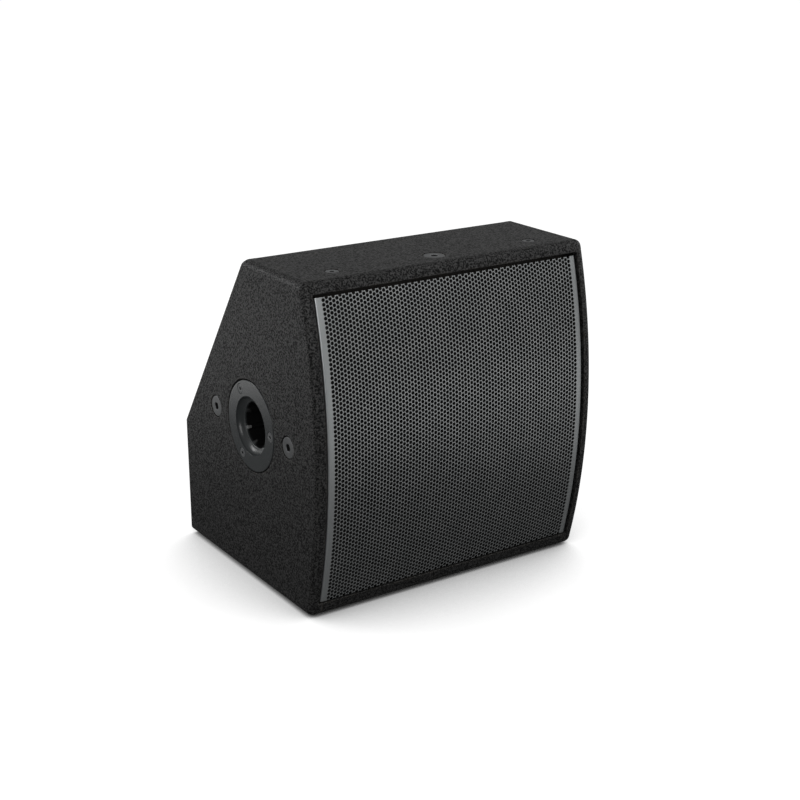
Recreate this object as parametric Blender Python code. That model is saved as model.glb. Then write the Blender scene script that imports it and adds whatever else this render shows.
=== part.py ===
"""Stage monitor wedge: a two-way coaxial loudspeaker in a plywood cabinet.

Part frame: origin at the bottom centre of the bounding box, +Z up, the grille facing -Y, +X to
the right as seen from the front. Every piece is placed in cabinet coordinates under one empty:
x from the middle, y from the line through the front corners towards the back, z from the
underside of the bottom panel.
"""

import math

import bmesh
import bpy
from mathutils import Euler, Vector

# ---- Driving dimensions, in metres -------------------------------------------------------------
WIDTH = 0.2820
HEIGHT = 0.2856
TOP_DEPTH = 0.0959
BASE_DEPTH = 0.2176
LOWER_REAR_HEIGHT = 0.1114
FRONT_SAGITTA = 0.0201
PANEL = 0.0120
EDGE_RADIUS = 0.0065
CLEARANCE = 0.0003
CUT_ABOVE = 0.0040

FRAME_SIDE = 0.00845
FRAME_TOP = 0.0098
FRAME_BOTTOM = 0.0117
GRILLE_SIDE_GAP = 0.0019
GRILLE_RECESS = 0.00145
GRILLE_THICKNESS = 0.0012
GRILLE_HALF_ANGLE = math.radians(14.62)
SCRIM_THICKNESS = 0.0009
SCRIM_GAP = 0.0004
SCRIM_MARGIN = 0.0020
SCRIM_SHORTER = math.radians(0.2)

BAFFLE_FRONT = 0.0090
BAFFLE_HOLE_RADIUS = 0.0920

SOCKET_Y = 0.0917
SOCKET_Z = 0.1420
SOCKET_FLANGE_RADIUS = 0.0399
SOCKET_FLANGE_THICKNESS = 0.0030
SOCKET_MOUTH_RADIUS = 0.0260
SOCKET_THROAT_RADIUS = 0.0210
SOCKET_THROAT_DEPTH = 0.0056
SOCKET_THROAT_STEEP = 0.72
SOCKET_BORE_RADIUS = 0.0203
SOCKET_RIB_RADIUS = 0.0178
SOCKET_RIB_SLOPE = 0.0034
SOCKET_WALL = 0.0035
SOCKET_SEAT_GAP = 0.0010
SOCKET_DEPTH = 0.0800
SOCKET_END_WALL = 0.0030
SOCKET_RIBS = 8
SOCKET_RIB_TOP_HALF = math.radians(6.0)
SOCKET_RIB_FOOT_HALF = math.radians(7.5)
SOCKET_EDGE_EASE = 0.0004
SOCKET_SCREW_CIRCLE = 0.0335

RIGGING_SPACING = 0.1266
RIGGING_HEAD_RADIUS = 0.00925
TOP_FIXING_Y = 0.0234
TOP_SCREW_SPACING = 0.1985
TOP_SCREW_HEAD_RADIUS = 0.00565
RECESS_IN_HEAD = 0.80
RECESS_PER_FLATS = 0.55
HEAD_FACE = 0.94
HEAD_EASE = 0.25

FOOT_HEIGHT = 0.0020
FOOT_RADIUS = 0.0090
FOOT_WALL = 0.6
FOOT_FACE = 0.9
FOOT_X = 0.1160
BASE_FOOT_Y = (0.0240, 0.1930)
SLANT_FOOT_ALONG = (0.0260, 0.1860)

HANDLE_SLOT_LENGTH = 0.1100
HANDLE_SLOT_WIDTH = 0.0340
HANDLE_CUP_DEPTH = 0.0380
HANDLE_CUP_WALL = 0.0030
HANDLE_CUP_FLANGE = 0.0100
HANDLE_CUP_LIP = 0.0020

DISH_Z = 0.0570
DISH_FLANGE = (0.1400, 0.0900)
DISH_OPENING = (0.1180, 0.0680)
DISH_DEPTH = 0.0160
DISH_WALL = 0.0022
DISH_SINK = 0.0014
DISH_FLANGE_THICKNESS = 0.0020
DISH_SEAT_GAP = 0.0006
DISH_SCREW_INSET = 0.0052
SPEAKER_SOCKET_X = (-0.0380, -0.0040)
KNOB_X = 0.0340
KNOB_RADIUS = 0.0105
KNOB_HEIGHT = 0.0100
SHAFT_RADIUS = 0.0030
SHAFT_REACH = 0.0080
SWITCH_BODY_HALF = 0.0100
SWITCH_BODY_DEPTH = 0.0150
SOCKET_BARREL_RADIUS = 0.0120
SOCKET_OPENING_RADIUS = 0.0095
SOCKET_POST_RADIUS = 0.0045
SOCKET_FLANGE_HALF = 0.0140
SOCKET_BARREL_DEPTH = 0.0240
SOCKET_PLATE = 0.0020
SOCKET_MOUTH_SHARE = 0.80
SOCKET_POST_SINK = 0.0030
SOCKET_CORNER = 1.28
KNOB_SKIRT = 0.0035
KNOB_GRIP_START = 0.0042
KNOB_GRIP_LOW = 0.86
KNOB_GRIP_HIGH = 0.82
KNOB_FACE = 0.74
KNOB_FACE_EASE = 0.0006
KNOB_FLUTES = 8
KNOB_FLUTE_DEPTH = 0.05

BASKET_RADIUS = 0.1050
BASKET_FRONT = 0.0047
BASKET_FLANGE = 0.0040
BASKET_NECK_RADIUS = 0.0910
BASKET_REAR_RADIUS = 0.0640
BASKET_REAR = 0.0640
BASKET_SKIN = 0.0040
BASKET_NECK_LENGTH = 0.0153
BASKET_SEAT = 0.0240
BASKET_WINDOWS = 6
BASKET_WINDOW = (0.0400, 0.0400, 0.0300)
BASKET_WINDOW_RADIUS = 0.0770
GASKET_FRONT = 0.0026
GASKET_WIDTH = 0.0125
GASKET_INSET = 0.0005
CONE_NECK = (0.0262, 0.0525)
CONE_RIM = (0.0790, 0.0052)
CONE_BOW = 0.0022
CONE_THICKNESS = 0.0016
ROLL_CENTRE_RADIUS = 0.0838
ROLL_RADIUS = 0.0040
SURROUND_Y = 0.0036
SURROUND_EDGE_RADIUS = 0.0915
SURROUND_THICKNESS = 0.0008
COIL_RADIUS = 0.0252
COIL_FRONT = 0.0522
COIL_REAR = 0.0820
COIL_FORMER = 0.0006
COIL_BARE_FRONT = 0.0138
COIL_BARE_REAR = 0.0020
COIL_WIRE = 0.0017
SPIDER_RADIUS = (0.0266, 0.0570)
SPIDER_Y = 0.0580
SPIDER_THICKNESS = 0.0007
SPIDER_WAVES = 2
SPIDER_RIPPLE = 0.0012
PLATE_RADIUS = 0.0560
PLATE_THICKNESS = 0.0080
TOP_PLATE_FRONT = 0.0643
MAGNET_RADIUS = 0.0575
MAGNET_REAR = 0.0900
MAGNET_BORE_GAP = 0.0068
PLATE_BORE_GAP = 0.0023
POLE_GAP = 0.0006
THROAT_RADIUS = 0.0125
HORN_MOUTH_Y = 0.0240
HORN_MOUTH_RADIUS = 0.0480
HORN_WALL = 0.0025
HORN_FLARE = 1.55
HORN_STEPS = 4
HORN_BACK_GAP = 0.0026
TWEETER_RADIUS = 0.0420
TWEETER_REAR = 0.1260
TWEETER_CAP_REAR = 0.1340
TWEETER_RIM = 0.0180
TWEETER_WALL = 0.0074
TWEETER_THROAT_WALL = 0.0054
TWEETER_CAP_EASE = (0.0040, 0.0030)
DOME_RADIUS = 0.0190
DOME_RIM_Y = 0.1170
DOME_RISE = 0.0080
DOME_SKIN = 0.0005
DOME_RIM_WIDTH = 0.0030

PORT_X = 0.1040
PORT_Z = 0.0380
PORT_RADIUS = 0.0200
PORT_LENGTH = 0.0860
PORT_WALL = 0.0020
PORT_LIP = 0.0045
PORT_PROUD = 0.0025

BOARD_SIZE = (0.1200, 0.0800, 0.0016)
BOARD_Y = 0.1150
BOARD_Z = 0.0180
INDUCTOR_X = -0.0330
INDUCTOR_RADII = (0.0080, 0.0180)
INDUCTOR_HEIGHT = 0.0140
CAPACITOR_X = 0.0150
CAPACITOR_RADIUS = 0.0080
CAPACITOR_LENGTH = 0.0310
CAPACITOR_EASE = 0.0010
INPUT_CABLE_RADIUS = 0.0022
DRIVER_CABLE_RADIUS = 0.0018

PAD_Z = (0.1560, 0.2640)
PAD_THICKNESS = 0.0120
PAD_HALF_WIDTH = 0.1000

# ---- Facet counts ------------------------------------------------------------------------------
FINE = 36
ROUND = 24
SMALL = 12
CORNER_STEPS = 3
ARC_STEPS = 14

# ---- Values worked out from them ---------------------------------------------------------------
MID_DEPTH = (BASE_DEPTH - FRONT_SAGITTA) / 2
MID_HEIGHT = HEIGHT / 2
ARC_RADIUS = (MID_HEIGHT ** 2 + FRONT_SAGITTA ** 2) / (2 * FRONT_SAGITTA)
ARC_CENTRE_Y = ARC_RADIUS - FRONT_SAGITTA
ARC_HALF_ANGLE = math.asin(MID_HEIGHT / ARC_RADIUS)
SLANT_RUN = BASE_DEPTH - TOP_DEPTH
SLANT_RISE = HEIGHT - LOWER_REAR_HEIGHT
SLANT_LENGTH = math.hypot(SLANT_RUN, SLANT_RISE)
SLANT_ANGLE = math.atan2(SLANT_RUN, SLANT_RISE)
INNER_HALF_WIDTH = WIDTH / 2 - PANEL
BETWEEN_SIDES = INNER_HALF_WIDTH - CLEARANCE
SLANT_STEP = PANEL / math.cos(SLANT_ANGLE)
BAFFLE_BACK = BAFFLE_FRONT + PANEL

INTO_PLUS_X = Euler((0, math.radians(90), 0))
INTO_MINUS_X = Euler((0, math.radians(-90), 0))
INTO_PLUS_Y = Euler((math.radians(-90), 0, 0))
INTO_MINUS_Y = Euler((math.radians(90), 0, 0))
DOWNWARD = Euler((math.radians(180), 0, 0))
UPWARD = Euler((0, 0, 0))
OFF_THE_SLANT = Euler((-(math.pi / 2 - SLANT_ANGLE), 0, 0))

SMOOTH_ANGLE = math.radians(35)
NEARLY = 1e-5
RIM_SHARE = 0.97


# ---- Scene and materials -----------------------------------------------------------------------
def clear_scene():
    for item in list(bpy.data.objects):
        bpy.data.objects.remove(item, do_unlink=True)


def make_material(name, colour, roughness, metallic=0.0):
    material = bpy.data.materials.new(name)
    material.use_nodes = True
    shader = material.node_tree.nodes["Principled BSDF"]
    shader.inputs["Base Color"].default_value = (*colour, 1.0)
    shader.inputs["Roughness"].default_value = roughness
    shader.inputs["Metallic"].default_value = metallic
    return material


def make_materials():
    return {
        "coating": make_material("cabinet_coating", (0.022, 0.022, 0.023), 0.62),
        "grille": make_material("grille_powder_coat", (0.090, 0.093, 0.098), 0.45, 0.2),
        "scrim": make_material("scrim_cloth", (0.006, 0.006, 0.006), 0.95),
        "socket": make_material("socket_plastic", (0.060, 0.062, 0.064), 0.42),
        "black_steel": make_material("black_screw_steel", (0.020, 0.020, 0.021), 0.40, 0.8),
        "zinc": make_material("grey_plug_steel", (0.120, 0.122, 0.125), 0.45, 0.7),
        "rubber": make_material("foot_rubber", (0.015, 0.015, 0.015), 0.85),
        "plastic": make_material("black_plastic", (0.018, 0.018, 0.019), 0.45),
        "plywood": make_material("baffle_plywood", (0.030, 0.028, 0.026), 0.70),
        "casting": make_material("basket_casting", (0.045, 0.045, 0.048), 0.50, 0.6),
        "ferrite": make_material("magnet_ferrite", (0.030, 0.030, 0.032), 0.65),
        "steel": make_material("plated_steel", (0.420, 0.410, 0.390), 0.35, 0.9),
        "paper": make_material("cone_paper", (0.020, 0.020, 0.022), 0.80),
        "cloth": make_material("treated_cloth", (0.030, 0.028, 0.026), 0.90),
        "copper": make_material("winding_copper", (0.450, 0.180, 0.080), 0.35, 0.9),
        "titanium": make_material("dome_titanium", (0.350, 0.340, 0.330), 0.30, 0.9),
        "board": make_material("circuit_board", (0.020, 0.090, 0.040), 0.50),
        "sleeve": make_material("capacitor_sleeve", (0.050, 0.060, 0.140), 0.35),
        "wadding": make_material("damping_wadding", (0.300, 0.300, 0.290), 0.95),
    }


# ---- Mesh helpers ------------------------------------------------------------------------------
def add_object(name, data, material, location=(0, 0, 0), rotation=UPWARD):
    item = bpy.data.objects.new(name, data)
    bpy.context.scene.collection.objects.link(item)
    item.location = location
    item.rotation_euler = rotation
    if material is not None:
        data.materials.append(material)
    return item


def mesh_from(name, bm):
    bmesh.ops.recalc_face_normals(bm, faces=bm.faces)
    mesh = bpy.data.meshes.new(name)
    bm.to_mesh(mesh)
    bm.free()
    mesh.shade_smooth()
    mesh.set_sharp_from_angle(angle=SMOOTH_ANGLE)
    return mesh


def ring_stack(name, rings, closed=False):
    """Joins rings of equal count into one skin; its ends are capped, or joined when closed."""
    bm = bmesh.new()
    loops = [[bm.verts.new(point) for point in ring] for ring in rings]
    pairs = list(zip(loops, loops[1:]))
    if closed:
        pairs.append((loops[-1], loops[0]))
    count = len(loops[0])
    for low, high in pairs:
        for i in range(count):
            j = (i + 1) % count
            bm.faces.new((low[i], low[j], high[j], high[i]))
    if not closed:
        bm.faces.new(loops[0])
        bm.faces.new(loops[-1])
    return mesh_from(name, bm)


def circle(radius, along, segments):
    """A level ring; radius may be a number or a function of the angle."""
    points = []
    for i in range(segments):
        angle = 2 * math.pi * i / segments
        r = radius(angle) if callable(radius) else radius
        points.append((r * math.cos(angle), r * math.sin(angle), along))
    return points


def turned(name, profile, segments, closed=False):
    """A turned piece about local Z from (radius, along) pairs."""
    return ring_stack(name, [circle(r, a, segments) for r, a in profile], closed)


def hexagon(across_flats):
    """The radius of a hexagon at each angle."""
    def radius(angle):
        from_flat = (angle + math.radians(30)) % math.radians(60) - math.radians(30)
        return across_flats / 2 / math.cos(from_flat)
    return radius


def extruded(name, outline, low, high):
    """A prism along X from an outline of (y, z) points."""
    return ring_stack(name, [[(x, y, z) for y, z in outline] for x in (low, high)])


def block(name, low, high):
    bm = bmesh.new()
    bmesh.ops.create_cube(bm, size=1.0)
    centre = (Vector(low) + Vector(high)) / 2
    size = Vector(high) - Vector(low)
    for vert in bm.verts:
        vert.co = centre + Vector([a * b for a, b in zip(vert.co, size)])
    return mesh_from(name, bm)


def boolean(target, tool, operation):
    change = target.modifiers.new(tool.name, "BOOLEAN")
    change.operation = operation
    change.solver = "EXACT"
    change.object = tool


def make_tool(name, mesh, location=(0, 0, 0), rotation=UPWARD):
    tool = add_object(name, mesh, None, location, rotation)
    tool.hide_render = True
    tool.display_type = "WIRE"
    return tool


def pill(length, width, steps):
    """An outline of (long, short) points with round ends."""
    radius = width / 2
    points = []
    for side in (1, -1):
        for i in range(steps + 1):
            angle = math.pi * i / steps - math.pi / 2
            long_side = side * (length / 2 - radius + radius * math.cos(angle))
            points.append((long_side, side * radius * math.sin(angle)))
    return points


# ---- The cabinet outline -----------------------------------------------------------------------
def front_point(angle, inset=0.0):
    """A point of the bulging front, as (y, z); positive angles lie above the middle."""
    radius = ARC_RADIUS - inset
    return (ARC_CENTRE_Y - radius * math.cos(angle), MID_HEIGHT + radius * math.sin(angle))


def corner_arc(corner, toward_a, toward_b, radius, steps):
    """The round between two straight edges that meet at a corner."""
    corner, a, b = Vector(corner), Vector(toward_a).normalized(), Vector(toward_b).normalized()
    half = a.angle(b) / 2
    centre = corner + (a + b).normalized() * (radius / math.sin(half))
    reach = radius / math.tan(half)
    start = corner + a * reach - centre
    end = corner + b * reach - centre
    turn = start.angle(end)
    points = []
    for i in range(steps + 1):
        share = i / steps
        weight_a = math.sin((1 - share) * turn) / math.sin(turn)
        weight_b = math.sin(share * turn) / math.sin(turn)
        points.append(tuple(centre + start * weight_a + end * weight_b))
    return points


def front_stretch(low, high, steps):
    return [front_point(low + (high - low) * i / steps) for i in range(steps + 1)]


BACKWARD = (1.0, 0.0)
ALONG_ARC_TOP = (-math.sin(ARC_HALF_ANGLE), -math.cos(ARC_HALF_ANGLE))
ALONG_ARC_BOTTOM = (-math.sin(ARC_HALF_ANGLE), math.cos(ARC_HALF_ANGLE))
ARC_TRIM = EDGE_RADIUS / math.tan(math.radians(45) + ARC_HALF_ANGLE / 2) / ARC_RADIUS


def top_corner():
    return corner_arc((0, HEIGHT), ALONG_ARC_TOP, BACKWARD, EDGE_RADIUS, CORNER_STEPS)


def bottom_corner():
    return corner_arc((0, 0), BACKWARD, ALONG_ARC_BOTTOM, EDGE_RADIUS, CORNER_STEPS)


def cabinet_outline():
    reach = ARC_HALF_ANGLE - ARC_TRIM
    front = front_stretch(-reach, reach, ARC_STEPS)[1:-1]
    rear = [(TOP_DEPTH, HEIGHT), (BASE_DEPTH, LOWER_REAR_HEIGHT), (BASE_DEPTH, 0)]
    return bottom_corner() + front + top_corner() + rear


def slant_y(z, depth=0.0):
    """The y of a plane parallel to the slanted face, a given depth inside it."""
    return BASE_DEPTH - (z - LOWER_REAR_HEIGHT) * math.tan(SLANT_ANGLE) - depth / math.cos(SLANT_ANGLE)


def strip_end_angle(height_from_middle):
    return math.asin(height_from_middle / ARC_RADIUS)


# ---- Cabinet panels ----------------------------------------------------------------------------
def round_outer_rim(mesh, outer_x):
    """Rounds the front, top and bottom edges of a side panel's outer face."""
    bm = bmesh.new()
    bm.from_mesh(mesh)
    rim = []
    for edge in bm.edges:
        a, b = (vert.co for vert in edge.verts)
        on_face = abs(a.x - outer_x) < NEARLY and abs(b.x - outer_x) < NEARLY
        lower_rear = min(a.y, b.y) > BASE_DEPTH - NEARLY
        slanted = max(a.y, b.y) > BASE_DEPTH - NEARLY and max(a.z, b.z) > HEIGHT - NEARLY
        if on_face and not lower_rear and not slanted:
            rim.append(edge)
    bmesh.ops.bevel(bm, geom=rim, offset=EDGE_RADIUS * RIM_SHARE, segments=CORNER_STEPS, profile=0.5,
                    affect="EDGES", clamp_overlap=True)
    bm.to_mesh(mesh)
    bm.free()
    mesh.shade_smooth()
    mesh.set_sharp_from_angle(angle=SMOOTH_ANGLE)


def side_panel(name, side, material):
    outer = side * WIDTH / 2
    inner = side * INNER_HALF_WIDTH
    mesh = extruded(name, cabinet_outline(), min(outer, inner), max(outer, inner))
    round_outer_rim(mesh, outer)
    return add_object(name, mesh, material)


def top_panel(material):
    under = HEIGHT - PANEL
    front = front_stretch(strip_end_angle(under - MID_HEIGHT), ARC_HALF_ANGLE - ARC_TRIM, 3)[:-1]
    rear = [(slant_y(HEIGHT, PANEL + CLEARANCE), HEIGHT), (slant_y(under, PANEL + CLEARANCE), under)]
    mesh = extruded("top_panel", front + top_corner() + rear, -BETWEEN_SIDES, BETWEEN_SIDES)
    return add_object("top_panel", mesh, material)


def bottom_panel(material):
    front = front_stretch(-ARC_HALF_ANGLE + ARC_TRIM, -strip_end_angle(MID_HEIGHT - PANEL), 3)[1:]
    back = BASE_DEPTH - PANEL - CLEARANCE
    outline = bottom_corner() + front + [(back, PANEL), (back, 0)]
    return add_object("bottom_panel", extruded("bottom_panel", outline, -BETWEEN_SIDES, BETWEEN_SIDES),
                      material)


def rear_panels(material):
    slanted = [(TOP_DEPTH, HEIGHT), (BASE_DEPTH, LOWER_REAR_HEIGHT),
               (slant_y(LOWER_REAR_HEIGHT, PANEL), LOWER_REAR_HEIGHT), (slant_y(HEIGHT, PANEL), HEIGHT)]
    add_object("rear_panel_slanted",
               extruded("rear_panel_slanted", slanted, -BETWEEN_SIDES, BETWEEN_SIDES), material)
    return add_object("rear_panel_lower",
                      block("rear_panel_lower", (-BETWEEN_SIDES, BASE_DEPTH - PANEL, 0),
                            (BETWEEN_SIDES, BASE_DEPTH, LOWER_REAR_HEIGHT - CLEARANCE)), material)


def baffle(material):
    mesh = block("baffle", (-BETWEEN_SIDES, BAFFLE_FRONT, PANEL + CLEARANCE),
                 (BETWEEN_SIDES, BAFFLE_BACK, HEIGHT - PANEL - CLEARANCE))
    board = add_object("baffle", mesh, material)
    holes = [("cut_driver_hole", BAFFLE_HOLE_RADIUS, 0, MID_HEIGHT, FINE)]
    holes += [(f"cut_port_hole_{i}", PORT_RADIUS + PORT_WALL + CLEARANCE, x, PORT_Z, ROUND)
              for i, x in enumerate((-PORT_X, PORT_X))]
    for name, radius, x, z, segments in holes:
        tool = turned(name, [(radius, 0), (radius, 3 * PANEL)], segments)
        boolean(board, make_tool(name, tool, (x, BAFFLE_FRONT - PANEL, z), INTO_PLUS_Y), "DIFFERENCE")
    return board


def curved_sheet(name, inset, thickness, half_width, half_angle, material):
    """A sheet that follows the bulging front, a given inset behind it."""
    angles = [half_angle * (2 * i / ARC_STEPS - 1) for i in range(ARC_STEPS + 1)]
    outline = [front_point(angle, inset) for angle in angles]
    outline += [front_point(angle, inset + thickness) for angle in reversed(angles)]
    return add_object(name, extruded(name, outline, -half_width, half_width), material)


def cut_grille_opening(panels):
    half = WIDTH / 2 - FRAME_SIDE
    mesh = block("cut_opening", (-half, -3 * FRONT_SAGITTA, FRAME_BOTTOM),
                 (half, BAFFLE_FRONT - CLEARANCE, HEIGHT - FRAME_TOP))
    tool = make_tool("cut_opening", mesh)
    for panel in panels:
        boolean(panel, tool, "DIFFERENCE")


# ---- Screws, plugs and feet --------------------------------------------------------------------
def screw_mesh(name, head_radius, head_height, shank_radius, length, across_flats, segments=SMALL):
    """A flat-headed screw, its head's face at the origin and its shank along +Z."""
    recess = min(head_height * RECESS_IN_HEAD, across_flats * RECESS_PER_FLATS)
    profile = [(hexagon(across_flats), recess), (hexagon(across_flats), 0),
               (head_radius * HEAD_FACE, 0), (head_radius, head_height * HEAD_EASE),
               (head_radius, head_height), (shank_radius, head_height), (shank_radius, length)]
    return turned(name, profile, segments)


def screw_clearance(name, head_radius, head_height, shank_radius, length, segments=SMALL):
    """The counterbored hole that a flush screw sits in, open above the surface."""
    head, shank = head_radius + CLEARANCE, shank_radius + CLEARANCE
    step = head_height + CLEARANCE
    return turned(name, [(head, -CUT_ABOVE), (head, step), (shank, step), (shank, length + CUT_ABOVE)],
                  segments)


def add_plug(name, panel, location, rotation, sizes, material, segments=ROUND):
    head_radius, head_height, shank_radius, length, across_flats = sizes
    hole = screw_clearance("cut_" + name, head_radius, head_height, shank_radius, length, segments)
    boolean(panel, make_tool("cut_" + name, hole, location, rotation), "DIFFERENCE")
    mesh = screw_mesh(name, head_radius, head_height, shank_radius, length, across_flats, segments)
    add_object(name, mesh, material, location, rotation)


# Head radius, head height, shank radius, whole length, and the hexagon's width across its flats.
RIGGING_SIZES = (RIGGING_HEAD_RADIUS, 0.0030, 0.0050, 0.0170, 0.0066)
TOP_RIGGING_SIZES = (RIGGING_HEAD_RADIUS, 0.0030, 0.0050, PANEL - CLEARANCE, 0.0066)
TOP_SCREW_SIZES = (TOP_SCREW_HEAD_RADIUS, 0.0025, 0.0030, PANEL - CLEARANCE, 0.0042)
SOCKET_SCREW_SIZES = (0.00425, 0.0014, 0.0018, 0.0110, 0.0026)
DISH_SCREW_SIZES = (0.0033, 0.0011, 0.0015, 0.0080, 0.0022)


def rigging_plugs(left, right, top, materials):
    for place, offset in (("front", -RIGGING_SPACING / 2), ("rear", RIGGING_SPACING / 2)):
        y = SOCKET_Y + offset
        add_plug(f"rigging_plug_left_{place}", left, (-WIDTH / 2, y, SOCKET_Z), INTO_PLUS_X,
                 RIGGING_SIZES, materials["zinc"])
        add_plug(f"rigging_plug_right_{place}", right, (WIDTH / 2, y, SOCKET_Z), INTO_MINUS_X,
                 RIGGING_SIZES, materials["zinc"])
    add_plug("rigging_plug_top", top, (0, TOP_FIXING_Y, HEIGHT), DOWNWARD, TOP_RIGGING_SIZES,
             materials["zinc"])
    for place, x in (("left", -TOP_SCREW_SPACING / 2), ("right", TOP_SCREW_SPACING / 2)):
        add_plug(f"top_screw_{place}", top, (x, TOP_FIXING_Y, HEIGHT), DOWNWARD, TOP_SCREW_SIZES,
                 materials["zinc"])


def feet(material):
    mesh = turned("foot", [(FOOT_RADIUS, CLEARANCE), (FOOT_RADIUS, FOOT_HEIGHT * FOOT_WALL),
                           (FOOT_RADIUS * FOOT_FACE, FOOT_HEIGHT)], ROUND)
    mesh.materials.append(material)
    for side, x in (("left", -FOOT_X), ("right", FOOT_X)):
        for place, y in zip(("front", "rear"), BASE_FOOT_Y):
            add_object(f"base_foot_{side}_{place}", mesh, None, (x, y, 0), DOWNWARD)
        for place, along in zip(("upper", "lower"), SLANT_FOOT_ALONG):
            y = TOP_DEPTH + along * math.sin(SLANT_ANGLE)
            z = HEIGHT - along * math.cos(SLANT_ANGLE)
            add_object(f"slant_foot_{side}_{place}", mesh, None, (x, y, z), OFF_THE_SLANT)


# ---- Pole socket -------------------------------------------------------------------------------
def socket_ring(base_radius, rib_radius, along):
    """A ring of the socket's bore, stepped in at each rib."""
    pitch = 2 * math.pi / SOCKET_RIBS
    rib_half, rib_foot = SOCKET_RIB_TOP_HALF, SOCKET_RIB_FOOT_HALF
    offsets = [(-rib_foot, base_radius), (-rib_half, rib_radius), (rib_half, rib_radius),
               (rib_foot, base_radius), (pitch / 2, base_radius)]
    points = []
    for i in range(SOCKET_RIBS):
        for offset, radius in offsets:
            angle = pitch * (i + 0.5) + offset
            points.append((radius * math.cos(angle), radius * math.sin(angle), along))
    return points


def pole_socket(panel, materials):
    """A flush flange, a bowl that drops steeply from it, and a ribbed bore behind a short throat."""
    place = (-WIDTH / 2, SOCKET_Y, SOCKET_Z)
    shoulder, tube = SOCKET_MOUTH_RADIUS + SOCKET_WALL, SOCKET_BORE_RADIUS + SOCKET_WALL
    bore_end = SOCKET_DEPTH - SOCKET_END_WALL
    outer = [(tube, SOCKET_DEPTH), (tube, 4 * SOCKET_WALL), (shoulder, 2 * SOCKET_WALL),
             (shoulder, SOCKET_FLANGE_THICKNESS), (SOCKET_FLANGE_RADIUS, SOCKET_FLANGE_THICKNESS),
             (SOCKET_FLANGE_RADIUS, SOCKET_EDGE_EASE), (SOCKET_FLANGE_RADIUS - SOCKET_EDGE_EASE, 0),
             (SOCKET_MOUTH_RADIUS, 0)]
    throat = SOCKET_THROAT_STEEP * (SOCKET_MOUTH_RADIUS - SOCKET_THROAT_RADIUS)
    bore_start = SOCKET_THROAT_DEPTH + SOCKET_THROAT_RADIUS - SOCKET_BORE_RADIUS
    bowl = [(SOCKET_THROAT_RADIUS + throat, SOCKET_THROAT_DEPTH * SOCKET_THROAT_STEEP),
            (SOCKET_THROAT_RADIUS, SOCKET_THROAT_DEPTH), (SOCKET_BORE_RADIUS, bore_start)]
    rings = [socket_ring(r, r, a) for r, a in outer + bowl]
    rings.append(socket_ring(SOCKET_BORE_RADIUS, SOCKET_RIB_RADIUS, bore_start + SOCKET_RIB_SLOPE))
    rings.append(socket_ring(SOCKET_BORE_RADIUS, SOCKET_RIB_RADIUS, bore_end))
    socket = add_object("pole_socket", ring_stack("pole_socket", rings), materials["socket"], place,
                        INTO_PLUS_X)

    rebate = SOCKET_FLANGE_THICKNESS + CLEARANCE
    gap = SOCKET_SEAT_GAP
    seat = [(SOCKET_FLANGE_RADIUS + gap, -CUT_ABOVE), (SOCKET_FLANGE_RADIUS + gap, rebate),
            (shoulder + gap, rebate), (shoulder + gap, 2 * PANEL)]
    boolean(panel, make_tool("cut_socket_seat", turned("cut_socket_seat", seat, FINE), place,
                             INTO_PLUS_X), "DIFFERENCE")
    head_radius, head_height, shank_radius, length, across_flats = SOCKET_SCREW_SIZES
    for name, degrees in (("front", 180), ("upper", 60), ("lower", -60)):
        angle = math.radians(degrees)
        spot = (-WIDTH / 2, SOCKET_Y + SOCKET_SCREW_CIRCLE * math.cos(angle),
                SOCKET_Z + SOCKET_SCREW_CIRCLE * math.sin(angle))
        hole = screw_clearance("cut_socket_screw_" + name, head_radius, head_height, shank_radius, length)
        tool = make_tool("cut_socket_screw_" + name, hole, spot, INTO_PLUS_X)
        boolean(socket, tool, "DIFFERENCE")
        pilot_radius = shank_radius + CLEARANCE
        pilot = turned("cut_socket_pilot_" + name, [(pilot_radius, 0), (pilot_radius, 2 * PANEL)], SMALL)
        boolean(panel, make_tool("cut_socket_pilot_" + name, pilot, spot, INTO_PLUS_X), "DIFFERENCE")
        mesh = screw_mesh(name, head_radius, head_height, shank_radius, length, across_flats)
        add_object("pole_socket_screw_" + name, mesh, materials["zinc"], spot, INTO_PLUS_X)


# ---- Handle ------------------------------------------------------------------------------------
def handle(panel, material):
    slot = [(SOCKET_Y + short, MID_HEIGHT + long)
            for long, short in pill(HANDLE_SLOT_LENGTH, HANDLE_SLOT_WIDTH, 6)]
    inner = INNER_HALF_WIDTH
    boolean(panel, make_tool("cut_handle_slot",
                             extruded("cut_handle_slot", slot, inner - PANEL, inner + 2 * PANEL)),
            "DIFFERENCE")

    def outline(margin):
        return [(SOCKET_Y + short, MID_HEIGHT + long) for long, short in
                pill(HANDLE_SLOT_LENGTH + 2 * margin, HANDLE_SLOT_WIDTH + 2 * margin, 6)]

    rim = inner - CLEARANCE
    wall, flange, lip = HANDLE_CUP_WALL, HANDLE_CUP_FLANGE, HANDLE_CUP_LIP
    floor = rim - HANDLE_CUP_DEPTH
    skin = [(floor - wall, lip + wall), (rim - wall, lip + wall), (rim - wall, flange), (rim, flange),
            (rim, lip), (floor, lip)]
    rings = [[(x, y, z) for y, z in outline(margin)] for x, margin in skin]
    add_object("handle_cup", ring_stack("handle_cup", rings), material)


# ---- Connector dish ----------------------------------------------------------------------------
def centred_rectangle(size, margin=0.0):
    return [(sx * (size[0] / 2 + margin), sz * (size[1] / 2 + margin))
            for sx, sz in ((-1, -1), (1, -1), (1, 1), (-1, 1))]


def dish_ring(size, y, margin=0.0):
    return [(x, y, DISH_Z + z) for x, z in centred_rectangle(size, margin)]


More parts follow.
